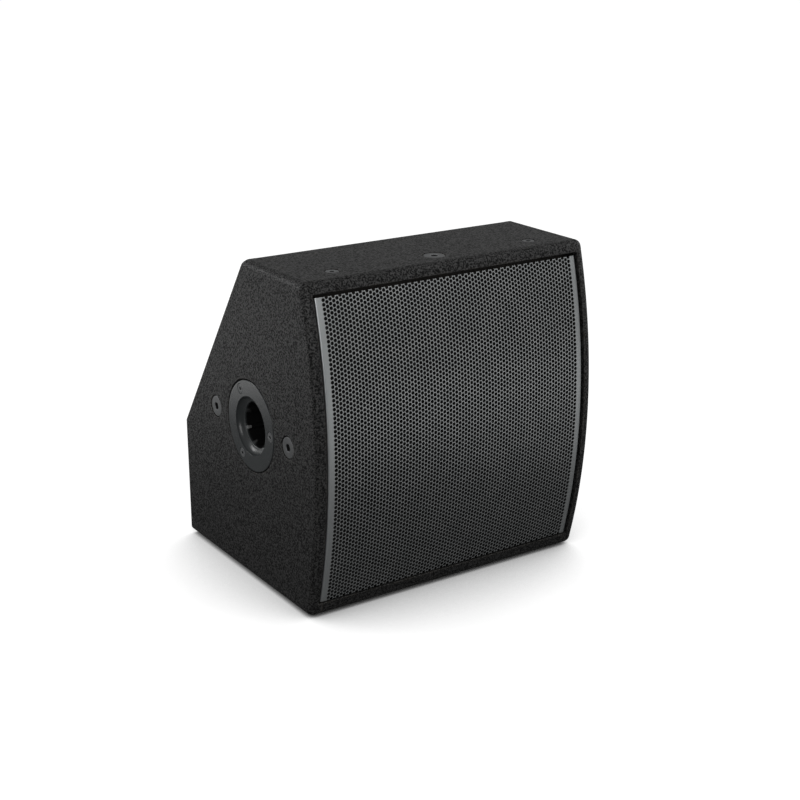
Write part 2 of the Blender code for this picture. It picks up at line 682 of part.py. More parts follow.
def connector_dish(panel, materials):
    face = BASE_DEPTH - DISH_SINK
    back_of_flange = face - DISH_FLANGE_THICKNESS
    floor = face - DISH_DEPTH
    rings = [dish_ring(DISH_OPENING, floor - DISH_WALL), dish_ring(DISH_OPENING, back_of_flange),
             dish_ring(DISH_FLANGE, back_of_flange), dish_ring(DISH_FLANGE, face),
             dish_ring(DISH_OPENING, face, -DISH_WALL), dish_ring(DISH_OPENING, floor, -DISH_WALL)]
    dish = add_object("connector_dish", ring_stack("connector_dish", rings), materials["plastic"])

    gap = DISH_SEAT_GAP
    seat = [dish_ring(DISH_OPENING, BASE_DEPTH - 2 * PANEL, gap),
            dish_ring(DISH_OPENING, back_of_flange - CLEARANCE, gap),
            dish_ring(DISH_FLANGE, back_of_flange - CLEARANCE, gap),
            dish_ring(DISH_FLANGE, BASE_DEPTH + PANEL, gap)]
    boolean(panel, make_tool("cut_dish_seat", ring_stack("cut_dish_seat", seat)), "DIFFERENCE")

    head_radius, head_height, shank_radius, length, across_flats = DISH_SCREW_SIZES
    inset = DISH_SCREW_INSET
    corners = (("left_lower", -1, -1), ("right_lower", 1, -1), ("left_upper", -1, 1), ("right_upper", 1, 1))
    for name, sx, sz in corners:
        spot = (sx * (DISH_FLANGE[0] / 2 - inset), face + head_height,
                DISH_Z + sz * (DISH_FLANGE[1] / 2 - inset))
        hole_radius = shank_radius + CLEARANCE
        hole = turned("cut_dish_screw_" + name, [(hole_radius, -PANEL), (hole_radius, 2 * PANEL)], SMALL)
        tool = make_tool("cut_dish_screw_" + name, hole, spot, INTO_MINUS_Y)
        boolean(dish, tool, "DIFFERENCE")
        boolean(panel, tool, "DIFFERENCE")
        mesh = screw_mesh("dish_screw_" + name, head_radius, head_height - CLEARANCE, shank_radius,
                          length, across_flats)
        add_object("dish_screw_" + name, mesh, materials["black_steel"], spot, INTO_MINUS_Y)

    for name, x in zip(("speaker_socket_input", "speaker_socket_link"), SPEAKER_SOCKET_X):
        add_speaker_socket(name, dish, x, floor, materials["plastic"])
    add_mode_switch(dish, floor, materials)


def add_speaker_socket(name, dish, x, floor, material):
    """A round four-pole socket with a square flange, its mouth facing backwards."""
    barrel, mouth, post = SOCKET_BARREL_RADIUS, SOCKET_OPENING_RADIUS, SOCKET_POST_RADIUS
    flange = SOCKET_PLATE
    flange_front = floor + CLEARANCE + flange
    place = (x, flange_front, DISH_Z)
    hole = [(barrel + CLEARANCE, -CLEARANCE), (barrel + CLEARANCE, PANEL)]
    tool = make_tool("cut_" + name, turned("cut_" + name, hole, ROUND), place, INTO_MINUS_Y)
    boolean(dish, tool, "DIFFERENCE")
    side = square(SOCKET_FLANGE_HALF)
    depth = SOCKET_BARREL_DEPTH
    body = [(barrel, depth), (barrel, flange), (side, flange), (side, 0),
            (mouth, 0), (mouth, depth * SOCKET_MOUTH_SHARE), (post, depth * SOCKET_MOUTH_SHARE),
            (post, SOCKET_POST_SINK)]
    add_object(name, turned(name, body, ROUND), material, place, INTO_MINUS_Y)


def square(half):
    """The radius of a square at each angle, with its corners eased."""
    def radius(angle):
        from_side = (angle + math.radians(45)) % math.radians(90) - math.radians(45)
        return min(half / math.cos(from_side), half * SOCKET_CORNER)
    return radius


def add_mode_switch(dish, floor, materials):
    place = (KNOB_X, floor, DISH_Z)
    hole_radius = SHAFT_RADIUS + CLEARANCE
    shaft_reach, body_half, body_depth = SHAFT_REACH, SWITCH_BODY_HALF, SWITCH_BODY_DEPTH
    hole = turned("cut_shaft", [(hole_radius, -PANEL), (hole_radius, shaft_reach + 4 * CLEARANCE)], SMALL)
    tool = make_tool("cut_shaft", hole, place, INTO_MINUS_Y)
    boolean(dish, tool, "DIFFERENCE")
    back = floor - DISH_WALL - CLEARANCE
    low = (KNOB_X - body_half, back - body_depth, DISH_Z - body_half)
    high = (KNOB_X + body_half, back, DISH_Z + body_half)
    switch = add_object("mode_switch_body", block("mode_switch_body", low, high), materials["plastic"])
    boolean(switch, tool, "DIFFERENCE")
    top = KNOB_HEIGHT + 2 * CLEARANCE
    profile = [(SHAFT_RADIUS, -shaft_reach), (SHAFT_RADIUS, 2 * CLEARANCE), (KNOB_RADIUS, 2 * CLEARANCE),
               (KNOB_RADIUS, KNOB_SKIRT), (fluted(KNOB_RADIUS * KNOB_GRIP_LOW), KNOB_GRIP_START),
               (fluted(KNOB_RADIUS * KNOB_GRIP_HIGH), top - KNOB_FACE_EASE), (KNOB_RADIUS * KNOB_FACE, top)]
    add_object("mode_knob", turned("mode_knob", profile, 2 * ROUND), materials["plastic"], place,
               INTO_PLUS_Y)


def fluted(radius):
    """A grip's radius, with shallow flutes."""
    return lambda angle: radius * (1 - KNOB_FLUTE_DEPTH * max(0.0, math.cos(KNOB_FLUTES * angle)))


# ---- Driver ------------------------------------------------------------------------------------
def driver_piece(name, profile, segments, material, closed=False):
    return add_object(name, turned(name, profile, segments, closed), material, (0, 0, MID_HEIGHT),
                      INTO_PLUS_Y)


def sheet_profile(points, thickness):
    """A closed profile for a thin turned skin that follows (radius, along) points."""
    front = [(r, a) for r, a in points]
    back = [(r, a + thickness) for r, a in reversed(points)]
    return front + back


def basket(materials):
    skin = BASKET_SKIN
    flange_back = BASKET_FRONT + BASKET_FLANGE
    slope_start = BASKET_FRONT + BASKET_NECK_LENGTH
    web = BASKET_REAR - skin
    neck, rear = BASKET_NECK_RADIUS, BASKET_REAR_RADIUS
    profile = [(BASKET_RADIUS, BASKET_FRONT), (BASKET_RADIUS, flange_back), (neck, flange_back),
               (neck, slope_start), (rear, web), (rear, BASKET_REAR), (rear - BASKET_SEAT, BASKET_REAR),
               (rear - BASKET_SEAT, web + 0.0005), (rear - skin, web + 0.0005),
               (rear - skin, web - 0.0010), (neck - skin, slope_start - 0.0010),
               (neck - skin, BASKET_FRONT)]
    frame = driver_piece("lf_basket", profile, FINE, materials["casting"], closed=True)
    half = [size / 2 for size in BASKET_WINDOW]
    for i in range(BASKET_WINDOWS):
        angle = 2 * math.pi * (i + 0.5) / BASKET_WINDOWS
        mesh = block(f"cut_window_{i}", [-h for h in half], half)
        place = (BASKET_WINDOW_RADIUS * math.cos(angle), (slope_start + web) / 2,
                 MID_HEIGHT + BASKET_WINDOW_RADIUS * math.sin(angle))
        tool = make_tool(f"cut_window_{i}", mesh, place, Euler((0, -angle, 0)))
        boolean(frame, tool, "DIFFERENCE")


def cone_profile():
    points = []
    steps = 3
    for i in range(steps + 1):
        share = i / steps
        bow = CONE_BOW * math.sin(math.pi * share)
        points.append((CONE_NECK[0] + (CONE_RIM[0] - CONE_NECK[0]) * share,
                       CONE_NECK[1] + (CONE_RIM[1] - CONE_NECK[1]) * share + bow))
    return sheet_profile(points, CONE_THICKNESS)


def surround_profile():
    points = []
    steps = 4
    for i in range(steps + 1):
        angle = math.pi * (1 - i / steps)
        points.append((ROLL_CENTRE_RADIUS + ROLL_RADIUS * math.cos(angle),
                       SURROUND_Y - ROLL_RADIUS * math.sin(angle)))
    points.append((SURROUND_EDGE_RADIUS, SURROUND_Y))
    return sheet_profile(points, SURROUND_THICKNESS)


def spider_profile():
    inner, outer = SPIDER_RADIUS
    steps = SPIDER_WAVES * 4
    points = []
    for i in range(steps + 1):
        share = i / steps
        ripple = SPIDER_RIPPLE * math.sin(2 * math.pi * SPIDER_WAVES * share)
        points.append((inner + (outer - inner) * share, SPIDER_Y + ripple))
    return sheet_profile(points, SPIDER_THICKNESS)


def coil_profile():
    outside, wire = COIL_RADIUS + COIL_FORMER, COIL_WIRE
    wound, unwound = COIL_FRONT + COIL_BARE_FRONT, COIL_REAR - COIL_BARE_REAR
    return [(COIL_RADIUS, COIL_FRONT), (outside, COIL_FRONT), (outside, wound), (COIL_RADIUS + wire, wound),
            (COIL_RADIUS + wire, unwound), (outside, unwound), (outside, COIL_REAR),
            (COIL_RADIUS, COIL_REAR)]


def ring_section(inner, outer, front, back):
    return [(inner, front), (outer, front), (outer, back), (inner, back)]


def low_frequency_driver(materials):
    basket(materials)
    gasket = ring_section(BASKET_RADIUS - GASKET_INSET - GASKET_WIDTH, BASKET_RADIUS - GASKET_INSET,
                          GASKET_FRONT, BASKET_FRONT - CLEARANCE)
    driver_piece("lf_gasket", gasket, FINE, materials["cloth"], closed=True)
    driver_piece("lf_surround", surround_profile(), FINE, materials["cloth"], closed=True)
    driver_piece("lf_cone", cone_profile(), FINE, materials["paper"], closed=True)
    driver_piece("lf_voice_coil", coil_profile(), ROUND, materials["copper"], closed=True)
    driver_piece("lf_spider", spider_profile(), ROUND, materials["cloth"], closed=True)
    plate_back = TOP_PLATE_FRONT + PLATE_THICKNESS
    plate = ring_section(COIL_RADIUS + PLATE_BORE_GAP, PLATE_RADIUS, TOP_PLATE_FRONT, plate_back)
    driver_piece("lf_top_plate", plate, ROUND, materials["steel"], closed=True)
    magnet = ring_section(COIL_RADIUS + MAGNET_BORE_GAP, MAGNET_RADIUS, plate_back + CLEARANCE, MAGNET_REAR)
    driver_piece("lf_magnet", magnet, ROUND, materials["ferrite"], closed=True)
    pole, back = COIL_RADIUS - POLE_GAP, MAGNET_REAR + CLEARANCE
    front = TOP_PLATE_FRONT - PLATE_BORE_GAP
    yoke = [(THROAT_RADIUS, front), (pole, front), (pole, back),
            (PLATE_RADIUS, back), (PLATE_RADIUS, back + PLATE_THICKNESS),
            (THROAT_RADIUS, back + PLATE_THICKNESS)]
    driver_piece("lf_back_plate", yoke, ROUND, materials["steel"], closed=True)


def horn_profile():
    """A horn that opens slowly at its throat and faster towards its mouth."""
    back, mouth, wall, steps = TOP_PLATE_FRONT - HORN_BACK_GAP, HORN_MOUTH_RADIUS, HORN_WALL, HORN_STEPS
    bore = []
    for i in range(steps + 1):
        share = i / steps
        bore.append((THROAT_RADIUS + (mouth - THROAT_RADIUS) * share ** HORN_FLARE,
                     back - (back - HORN_MOUTH_Y) * share))
    rim = [(mouth + wall, HORN_MOUTH_Y)]
    skin = [(r + 1.6 * wall, a) for r, a in reversed(bore[:-1])]
    return bore + rim + skin


def high_frequency_driver(materials):
    driver_piece("hf_horn", horn_profile(), ROUND, materials["plastic"], closed=True)
    front = MAGNET_REAR + 2 * CLEARANCE + PLATE_THICKNESS
    pocket = TWEETER_RADIUS - TWEETER_RIM
    housing = [(THROAT_RADIUS, front), (TWEETER_RADIUS, front), (TWEETER_RADIUS, TWEETER_REAR),
               (pocket, TWEETER_REAR), (pocket, front + TWEETER_WALL),
               (THROAT_RADIUS, front + TWEETER_THROAT_WALL)]
    driver_piece("hf_housing", housing, ROUND, materials["ferrite"], closed=True)
    dome = [(DOME_RADIUS + DOME_RIM_WIDTH, DOME_RIM_Y), (DOME_RADIUS, DOME_RIM_Y)]
    for i in range(1, 4):
        turn = math.radians(90) * i / 4
        dome.append((DOME_RADIUS * math.cos(turn), DOME_RIM_Y - DOME_RISE * math.sin(turn)))
    skin = [(r, a + DOME_SKIN) for r, a in dome] + [(r, a) for r, a in reversed(dome)]
    driver_piece("hf_diaphragm", dome_solid(dome, skin), ROUND, materials["titanium"])
    ease_in, ease_along = TWEETER_CAP_EASE
    cap = [(TWEETER_RADIUS, TWEETER_REAR + CLEARANCE), (TWEETER_RADIUS, TWEETER_CAP_REAR - ease_along),
           (TWEETER_RADIUS - ease_in, TWEETER_CAP_REAR)]
    driver_piece("hf_rear_cap", cap, ROUND, materials["plastic"])


def dome_solid(dome, skin):
    """Orders a dome's skin from the middle of its back to the middle of its front."""
    count = len(dome)
    back = list(reversed(skin[:count]))
    front = list(reversed(skin[count:]))
    return back + front


# ---- Inside parts ------------------------------------------------------------------------------
def ports(material):
    flange, outer = PORT_RADIUS + PORT_LIP, PORT_RADIUS + PORT_WALL
    front, seat = BAFFLE_FRONT - PORT_PROUD, BAFFLE_FRONT - CLEARANCE
    profile = [(PORT_RADIUS, front + PORT_WALL), (outer, front), (flange, front), (flange, seat),
               (outer, seat), (outer, PORT_LENGTH), (PORT_RADIUS, PORT_LENGTH)]
    for side, x in (("left", -PORT_X), ("right", PORT_X)):
        mesh = turned(f"port_tube_{side}", profile, ROUND, closed=True)
        add_object(f"port_tube_{side}", mesh, material, (x, 0, PORT_Z), INTO_PLUS_Y)


def crossover(materials):
    sx, sy, sz = BOARD_SIZE
    low = (-sx / 2, BOARD_Y - sy / 2, BOARD_Z)
    high = (sx / 2, BOARD_Y + sy / 2, BOARD_Z + sz)
    add_object("crossover_board", block("crossover_board", low, high), materials["board"])
    top = BOARD_Z + sz + CLEARANCE
    inner, outer = INDUCTOR_RADII
    coil = ring_section(inner, outer, 0, INDUCTOR_HEIGHT)
    add_object("crossover_inductor", turned("crossover_inductor", coil, ROUND, closed=True),
               materials["copper"], (INDUCTOR_X, BOARD_Y, top))
    radius, length, ease = CAPACITOR_RADIUS, CAPACITOR_LENGTH, CAPACITOR_EASE
    can = [(radius - ease, 0), (radius, ease), (radius, length - ease), (radius - ease, length)]
    add_object("crossover_capacitor", turned("crossover_capacitor", can, SMALL), materials["sleeve"],
               (CAPACITOR_X, BOARD_Y, top + CAPACITOR_RADIUS), INTO_PLUS_X)


def cable(name, points, radius, material):
    curve = bpy.data.curves.new(name, "CURVE")
    curve.dimensions = "3D"
    curve.bevel_depth = radius
    curve.bevel_resolution = 1
    curve.use_fill_caps = True
    curve.resolution_u = 3
    spline = curve.splines.new("BEZIER")
    spline.bezier_points.add(len(points) - 1)
    for knot, point in zip(spline.bezier_points, points):
        knot.co = point
        knot.handle_left_type = "AUTO"
        knot.handle_right_type = "AUTO"
    return add_object(name, curve, material)


def cables(materials):
    dish_back = BASE_DEPTH - DISH_SINK - DISH_DEPTH - SOCKET_BARREL_DEPTH
    board_top = BOARD_Z + BOARD_SIZE[2]
    rear_edge = BOARD_Y + BOARD_SIZE[1] / 2
    front_edge = BOARD_Y - BOARD_SIZE[1] / 2
    cable("input_cable", [(SPEAKER_SOCKET_X[0], dish_back - 0.0010, DISH_Z),
                          (SPEAKER_SOCKET_X[0] - 0.0080, rear_edge + 0.0060, DISH_Z - 0.0100),
                          (-0.0480, rear_edge - 0.0060, board_top + 0.0060)], INPUT_CABLE_RADIUS,
          materials["plastic"])
    cable("lf_cable", [(0.0350, front_edge + 0.0060, board_top + 0.0050),
                       (0.0480, front_edge - 0.0150, 0.0400), (0.0560, 0.0560, 0.0700)],
          DRIVER_CABLE_RADIUS, materials["plastic"])
    cable("hf_cable", [(0.0000, BOARD_Y + 0.0250, board_top + 0.0050),
                       (0.0000, BOARD_Y + 0.0330, 0.0650), (0.0000, 0.1420, 0.1080),
                       (0.0000, 0.1370, 0.1300)], DRIVER_CABLE_RADIUS, materials["plastic"])


def damping_pad(material):
    low, high = PAD_Z
    skin = PANEL + CLEARANCE
    outline = [(slant_y(low, skin), low), (slant_y(high, skin), high),
               (slant_y(high, skin + PAD_THICKNESS), high), (slant_y(low, skin + PAD_THICKNESS), low)]
    add_object("damping_pad", extruded("damping_pad", outline, -PAD_HALF_WIDTH, PAD_HALF_WIDTH), material)


# ---- Assembly ----------------------------------------------------------------------------------
def build():
    clear_scene()
    materials = make_materials()
    coating = materials["coating"]
    left = side_panel("side_panel_left", -1, coating)
    right = side_panel("side_panel_right", 1, coating)
    top = top_panel(coating)
    bottom = bottom_panel(coating)
    lower = rear_panels(coating)
    baffle(materials["plywood"])
    cut_grille_opening((left, right, top, bottom))
    sheet_half = WIDTH / 2 - FRAME_SIDE - GRILLE_SIDE_GAP
    curved_sheet("grille", GRILLE_RECESS, GRILLE_THICKNESS, sheet_half, GRILLE_HALF_ANGLE,
                 materials["grille"])
    curved_sheet("grille_scrim", GRILLE_RECESS + GRILLE_THICKNESS + SCRIM_GAP, SCRIM_THICKNESS,
                 sheet_half - SCRIM_MARGIN, GRILLE_HALF_ANGLE - SCRIM_SHORTER, materials["scrim"])
    pole_socket(left, materials)
    rigging_plugs(left, right, top, materials)
    handle(right, materials["plastic"])
    connector_dish(lower, materials)
    feet(materials["rubber"])
    low_frequency_driver(materials)
    high_frequency_driver(materials)
    ports(materials["plastic"])
    crossover(materials)
    cables(materials)
    damping_pad(materials["wadding"])

    datum = bpy.data.objects.new("cabinet_datum", None)
    bpy.context.scene.collection.objects.link(datum)
    datum.location = (0, -MID_DEPTH, FOOT_HEIGHT)
    for item in bpy.data.objects:
        if item is not datum:
            item.parent = datum


build()
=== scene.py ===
"""Looks of the stage monitor wedge: refined surfaces, a perforated grille, materials and the stage."""

import math

import bmesh
import bpy
import numpy as np
from mathutils import Euler, Matrix, Vector


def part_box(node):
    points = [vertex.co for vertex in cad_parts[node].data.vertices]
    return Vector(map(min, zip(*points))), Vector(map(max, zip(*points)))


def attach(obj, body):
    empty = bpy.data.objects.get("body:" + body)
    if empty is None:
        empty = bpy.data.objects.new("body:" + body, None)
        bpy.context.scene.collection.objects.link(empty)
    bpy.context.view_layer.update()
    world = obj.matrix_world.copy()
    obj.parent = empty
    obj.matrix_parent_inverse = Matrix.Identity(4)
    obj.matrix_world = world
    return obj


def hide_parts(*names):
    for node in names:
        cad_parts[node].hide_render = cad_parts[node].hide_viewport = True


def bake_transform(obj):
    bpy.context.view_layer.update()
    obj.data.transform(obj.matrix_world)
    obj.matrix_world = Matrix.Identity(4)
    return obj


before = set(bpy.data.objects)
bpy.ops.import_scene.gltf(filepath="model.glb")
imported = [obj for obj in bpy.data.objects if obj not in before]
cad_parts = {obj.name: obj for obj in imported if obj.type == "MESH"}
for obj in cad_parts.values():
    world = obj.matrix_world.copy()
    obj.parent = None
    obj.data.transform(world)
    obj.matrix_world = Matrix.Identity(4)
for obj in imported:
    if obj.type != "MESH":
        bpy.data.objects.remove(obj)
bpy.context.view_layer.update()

# ---- Cabinet sizes, from the frame (metres) ----------------------------------------------------
side_low, side_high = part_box("side_panel_left")
baffle_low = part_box("baffle")[0]
grille_low, grille_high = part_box("grille")
socket_low, socket_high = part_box("pole_socket")
slanted_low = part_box("rear_panel_slanted")[0]

MM = 0.001
HALF_WIDTH = -side_low.x
PANEL = side_high.x - side_low.x
INNER_X = HALF_WIDTH - PANEL
BOTTOM_Z = side_low.z
HEIGHT = side_high.z - side_low.z
FRONT_SAGITTA = 20.1 * MM
FRONT_Y = side_low.y + FRONT_SAGITTA
BASE_DEPTH = side_high.y - FRONT_Y
TOP_DEPTH = 95.9 * MM
LOWER_REAR = slanted_low.z - BOTTOM_Z
EDGE_RADIUS = 6.5 * MM
REAR_EDGE_RADIUS = 0.9 * MM
FRAME_SIDE = 8.45 * MM
FRAME_TOP = 9.8 * MM
FRAME_BOTTOM = 11.7 * MM
BAFFLE_FRONT = baffle_low.y - FRONT_Y

MID_HEIGHT = HEIGHT / 2
ARC_RADIUS = (MID_HEIGHT ** 2 + FRONT_SAGITTA ** 2) / (2 * FRONT_SAGITTA)
ARC_CENTRE_Y = ARC_RADIUS - FRONT_SAGITTA
ARC_HALF_ANGLE = math.asin(MID_HEIGHT / ARC_RADIUS)
SLANT_ANGLE = math.atan2(BASE_DEPTH - TOP_DEPTH, HEIGHT - LOWER_REAR)

SOCKET_Y = (socket_low.y + socket_high.y) / 2 - FRONT_Y
SOCKET_Z = (socket_low.z + socket_high.z) / 2 - BOTTOM_Z
SOCKET_RADIUS = (socket_high.z - socket_low.z) / 2
SOCKET_DEPTH = socket_high.x - socket_low.x
THROAT_DEPTH = 5.6 * MM

INTO_PLUS_X = Euler((0, math.pi / 2, 0))
INTO_MINUS_X = Euler((0, -math.pi / 2, 0))
INTO_PLUS_Y = Euler((-math.pi / 2, 0, 0))
INTO_MINUS_Y = Euler((math.pi / 2, 0, 0))
DOWNWARD = Euler((math.pi, 0, 0))
UPWARD = Euler((0, 0, 0))
UPRIGHT = (math.pi / 2, "X")
SHARP_ANGLE = math.radians(32)


# ---- Node materials ----------------------------------------------------------------------------
GRAIN_SCALE = 690
GRAIN_HEIGHT = 0.44 * MM
COARSE_SCALE = 420
COARSE_HEIGHT = 0.14 * MM
WEAVE_SCALE = 560
# Normal turns where the edge mark (wear, and a painted highlight) starts and where it is full.
EDGE_MARK_START = 0.995
EDGE_MARK_FULL = 0.930


class Graph:
    """Short ways to add and join the nodes of one tree."""

    def __init__(self, tree):
        self.tree = tree

    def add(self, kind, **settings):
        node = self.tree.nodes.new(kind)
        for key, value in settings.items():
            setattr(node, key, value)
        return node

    def link(self, source, target):
        self.tree.links.new(source, target)

    def spread(self, source, low, high, start=0.0, end=1.0, **settings):
        """Maps a grey value from start..end onto low..high."""
        node = self.add("ShaderNodeMapRange", **settings)
        for key, value in (("From Min", start), ("From Max", end), ("To Min", low), ("To Max", high)):
            node.inputs[key].default_value = value
        self.link(source, node.inputs["Value"])
        return node.outputs["Result"]

    def math(self, operation, a, b):
        node = self.add("ShaderNodeMath", operation=operation)
        for socket, value in zip(node.inputs, (a, b)):
            if isinstance(value, (int, float)):
                socket.default_value = value
            else:
                self.link(value, socket)
        return node.outputs["Value"]


class Surface(Graph):
    """A material around one Principled BSDF, textured in the frame's own coordinates."""

    def __init__(self, name):
        self.material = bpy.data.materials.new(name)
        self.material.use_nodes = True
        super().__init__(self.material.node_tree)
        self.shader = self.tree.nodes["Principled BSDF"]
        self.place = self.add("ShaderNodeTexCoord").outputs["Object"]
        self.normal = None

    def noise(self, scale, detail=3.0, roughness=0.5, stretch=(1, 1, 1)):
        mapping = self.add("ShaderNodeMapping")
        mapping.inputs["Scale"].default_value = stretch
        self.link(self.place, mapping.inputs["Vector"])
        node = self.add("ShaderNodeTexNoise")
        node.inputs["Scale"].default_value = scale
        node.inputs["Detail"].default_value = detail
        node.inputs["Roughness"].default_value = roughness
        self.link(mapping.outputs["Vector"], node.inputs["Vector"])
        return node.outputs["Fac"]

    def cell_edges(self, scale):
        node = self.add("ShaderNodeTexVoronoi", feature="DISTANCE_TO_EDGE")
        node.inputs["Scale"].default_value = scale
        self.link(self.place, node.inputs["Vector"])
        return node.outputs["Distance"]

    def waves(self, scale, axis="X", distortion=0.0):
        node = self.add("ShaderNodeTexWave", wave_type="BANDS", bands_direction=axis)
        node.inputs["Scale"].default_value = scale
        node.inputs["Distortion"].default_value = distortion
        self.link(self.place, node.inputs["Vector"])
        return node.outputs["Fac"]

    def mix(self, factor, first, second):
        node = self.add("ShaderNodeMix", data_type="RGBA")
        self.link(factor, node.inputs["Factor"])
        for key, value in (("A", first), ("B", second)):
            socket = [s for s in node.inputs if s.name == key and s.type == "RGBA"][0]
            if isinstance(value, tuple):
                socket.default_value = (*value, 1.0)
            else:
                self.link(value, socket)
        return [s for s in node.outputs if s.type == "RGBA"][0]

    def bump(self, height, distance, strength=1.0):
        node = self.add("ShaderNodeBump")
        node.inputs["Distance"].default_value = distance
        node.inputs["Strength"].default_value = strength
        self.link(height, node.inputs["Height"])
        if self.normal is not None:
            self.link(self.normal, node.inputs["Normal"])
        self.normal = node.outputs["Normal"]

    def edge_wear_and_highlight(self, radius, amount=1.0):
        """A mask of edges, found by how far a small bevel turns the normal, broken up by noise: wear, and on
        the coating and the grille a painted highlight.
        """
        bevel = self.add("ShaderNodeBevel", samples=4)
        bevel.inputs["Radius"].default_value = radius * MM
        geometry = self.add("ShaderNodeNewGeometry")
        turned_by = self.add("ShaderNodeVectorMath", operation="DOT_PRODUCT")
        self.link(bevel.outputs["Normal"], turned_by.inputs[0])
        self.link(geometry.outputs["Normal"], turned_by.inputs[1])
        edges = self.spread(turned_by.outputs["Value"], 0.0, amount, EDGE_MARK_START, EDGE_MARK_FULL)
        patches = self.spread(self.noise(60, 5), 0.0, 1.0, 0.40, 0.62)
        return self.math("MULTIPLY", edges, patches)

    def finish(self, colour, roughness, metallic=0.0, sheen=0.0, specular=None):
        self.link(colour, self.shader.inputs["Base Color"])
        if isinstance(roughness, float):
            self.shader.inputs["Roughness"].default_value = roughness
        else:
            self.link(roughness, self.shader.inputs["Roughness"])
        self.shader.inputs["Metallic"].default_value = metallic
        self.shader.inputs["Sheen Weight"].default_value = sheen
        if specular is not None:
            self.shader.inputs["Specular IOR Level"].default_value = specular
        if self.normal is not None:
            self.link(self.normal, self.shader.inputs["Normal"])
        return self.material


def coating():
    """Sprayed structured paint: rounded grains about a millimetre wide, with painted shade that darkens and
    dulls the hollows between them, and a warm painted highlight, with wear, on the rounded edges.
    """
    s = Surface("structured_black_coating")
    grains = s.noise(GRAIN_SCALE, 3, 0.55)
    coarse = s.noise(COARSE_SCALE, 2, 0.5)
    # Darker, less glossy hollows between the grains: painted shade.
    painted_grain_shade = s.spread(grains, 0, 1, 0.42, 0.62)
    tone = s.mix(painted_grain_shade, (0.0050, 0.0051, 0.0052), (0.0182, 0.0180, 0.0178))
    # Warm, lighter rounded edges: a painted highlight band, with wear.
    colour = s.mix(s.edge_wear_and_highlight(2.5, 0.8), tone, (0.0380, 0.0345, 0.0300))
    s.link(s.spread(painted_grain_shade, 0.06, 0.62), s.shader.inputs["Specular IOR Level"])
    s.bump(coarse, COARSE_HEIGHT, 0.55)
    s.bump(grains, GRAIN_HEIGHT, 0.85)
    return s.finish(colour, s.spread(grains, 0.42, 0.66))


def grille_coat():
    s = Surface("grille_powder_coat")
    fine = s.noise(2600, 3)
    tone = s.mix(fine, (0.325, 0.340, 0.342), (0.420, 0.438, 0.441))
    # Lighter hole rims: a painted highlight on the rims, with wear.
    colour = s.mix(s.edge_wear_and_highlight(0.5), tone, (0.520, 0.526, 0.526))
    s.bump(fine, 0.04 * MM, 0.4)
    return s.finish(colour, s.spread(s.noise(260, 3), 0.34, 0.46), 0.85)


def acoustic_cloth():
    s = Surface("acoustic_cloth")
    weave = s.math("MULTIPLY", s.waves(WEAVE_SCALE, "X"), s.waves(WEAVE_SCALE, "Z"))
    colour = s.mix(weave, grey(0.0020), grey(0.0060))
    s.bump(weave, 0.3 * MM, 0.6)
    return s.finish(colour, 0.96, sheen=0.1, specular=0.1)


def moulded_plastic(name, dark, light, rough_low, rough_high, grain=1500, depth=0.06, specular=0.5):
    s = Surface(name)
    grain_map = s.noise(grain, 3)
    tone = s.mix(s.noise(45, 4), dark, light)
    worn = tuple(min(1.0, 1.7 * c) for c in light)
    colour = s.mix(s.edge_wear_and_highlight(0.6), tone, worn)
    s.bump(grain_map, depth * MM, 0.5)
    return s.finish(colour, s.spread(s.noise(90, 4), rough_low, rough_high), specular=specular)


def socket_plastic():
    """Fine-grained grey plastic whose bore, from the throat inwards, is darkened and dulled as painted
    shade.
    """
    s = Surface("socket_plastic")
    grain = s.noise(1500, 3)
    tone = s.mix(s.noise(45, 4), (0.023, 0.026, 0.027), (0.031, 0.034, 0.035))
    worn = s.mix(s.edge_wear_and_highlight(0.6, 0.7), tone, (0.060, 0.064, 0.065))
    depth = s.add("ShaderNodeSeparateXYZ")
    s.link(s.place, depth.inputs[0])
    throat = -HALF_WIDTH + THROAT_DEPTH
    inside = s.spread(depth.outputs["X"], 0.0, 1.0, throat + 0.5 * MM, throat + 2.5 * MM)
    # Painted shade in the bore: darker, less specular and rougher from the throat inwards.
    colour = s.mix(inside, worn, (0.0045, 0.0045, 0.0046))
    s.link(s.spread(inside, 0.36, 0.24), s.shader.inputs["Specular IOR Level"])
    s.bump(grain, 0.06 * MM, 0.5)
    roughness = s.spread(s.noise(90, 4), 0.21, 0.29)
    return s.finish(colour, s.math("ADD", roughness, s.math("MULTIPLY", inside, 0.1)))


def worked_metal(name, dark, light, rough_low, rough_high, metallic=0.9, scratch=(1, 1, 12)):
    s = Surface(name)
    brushed = s.noise(300, 6, 0.7, scratch)
    tone = s.mix(s.math("MULTIPLY", brushed, s.noise(80, 4)), dark, light)
    colour = s.mix(s.edge_wear_and_highlight(0.5), tone, tuple(min(1.0, 1.5 * c) for c in light))
    s.bump(brushed, 0.03 * MM, 0.35)
    return s.finish(colour, s.spread(brushed, rough_low, rough_high), metallic)


def rubber():
    s = Surface("foot_rubber")
    grain = s.noise(900, 5, 0.6)
    colour = s.mix(s.noise(120, 4), (0.010, 0.010, 0.010), (0.024, 0.023, 0.022))
    s.bump(grain, 0.08 * MM, 0.6)
    return s.finish(colour, s.spread(grain, 0.70, 0.95), specular=0.25)


def raw_plywood(name, dark, light):
    """Veneer with long grain, and layers that show on its cut edges."""
    s = Surface(name)
    veneer = s.noise(38, 8, 0.65, (1, 1, 9))
    layers = s.waves(260, "Y", 0.4)
    tone = s.mix(s.spread(veneer, 0, 1, 0.35, 0.65), dark, light)
    colour = s.mix(s.spread(layers, 0.0, 0.25), tone, tuple(0.7 * c for c in dark))
    s.bump(veneer, 0.12 * MM, 0.5)
    return s.finish(colour, s.spread(veneer, 0.55, 0.80), specular=0.3)


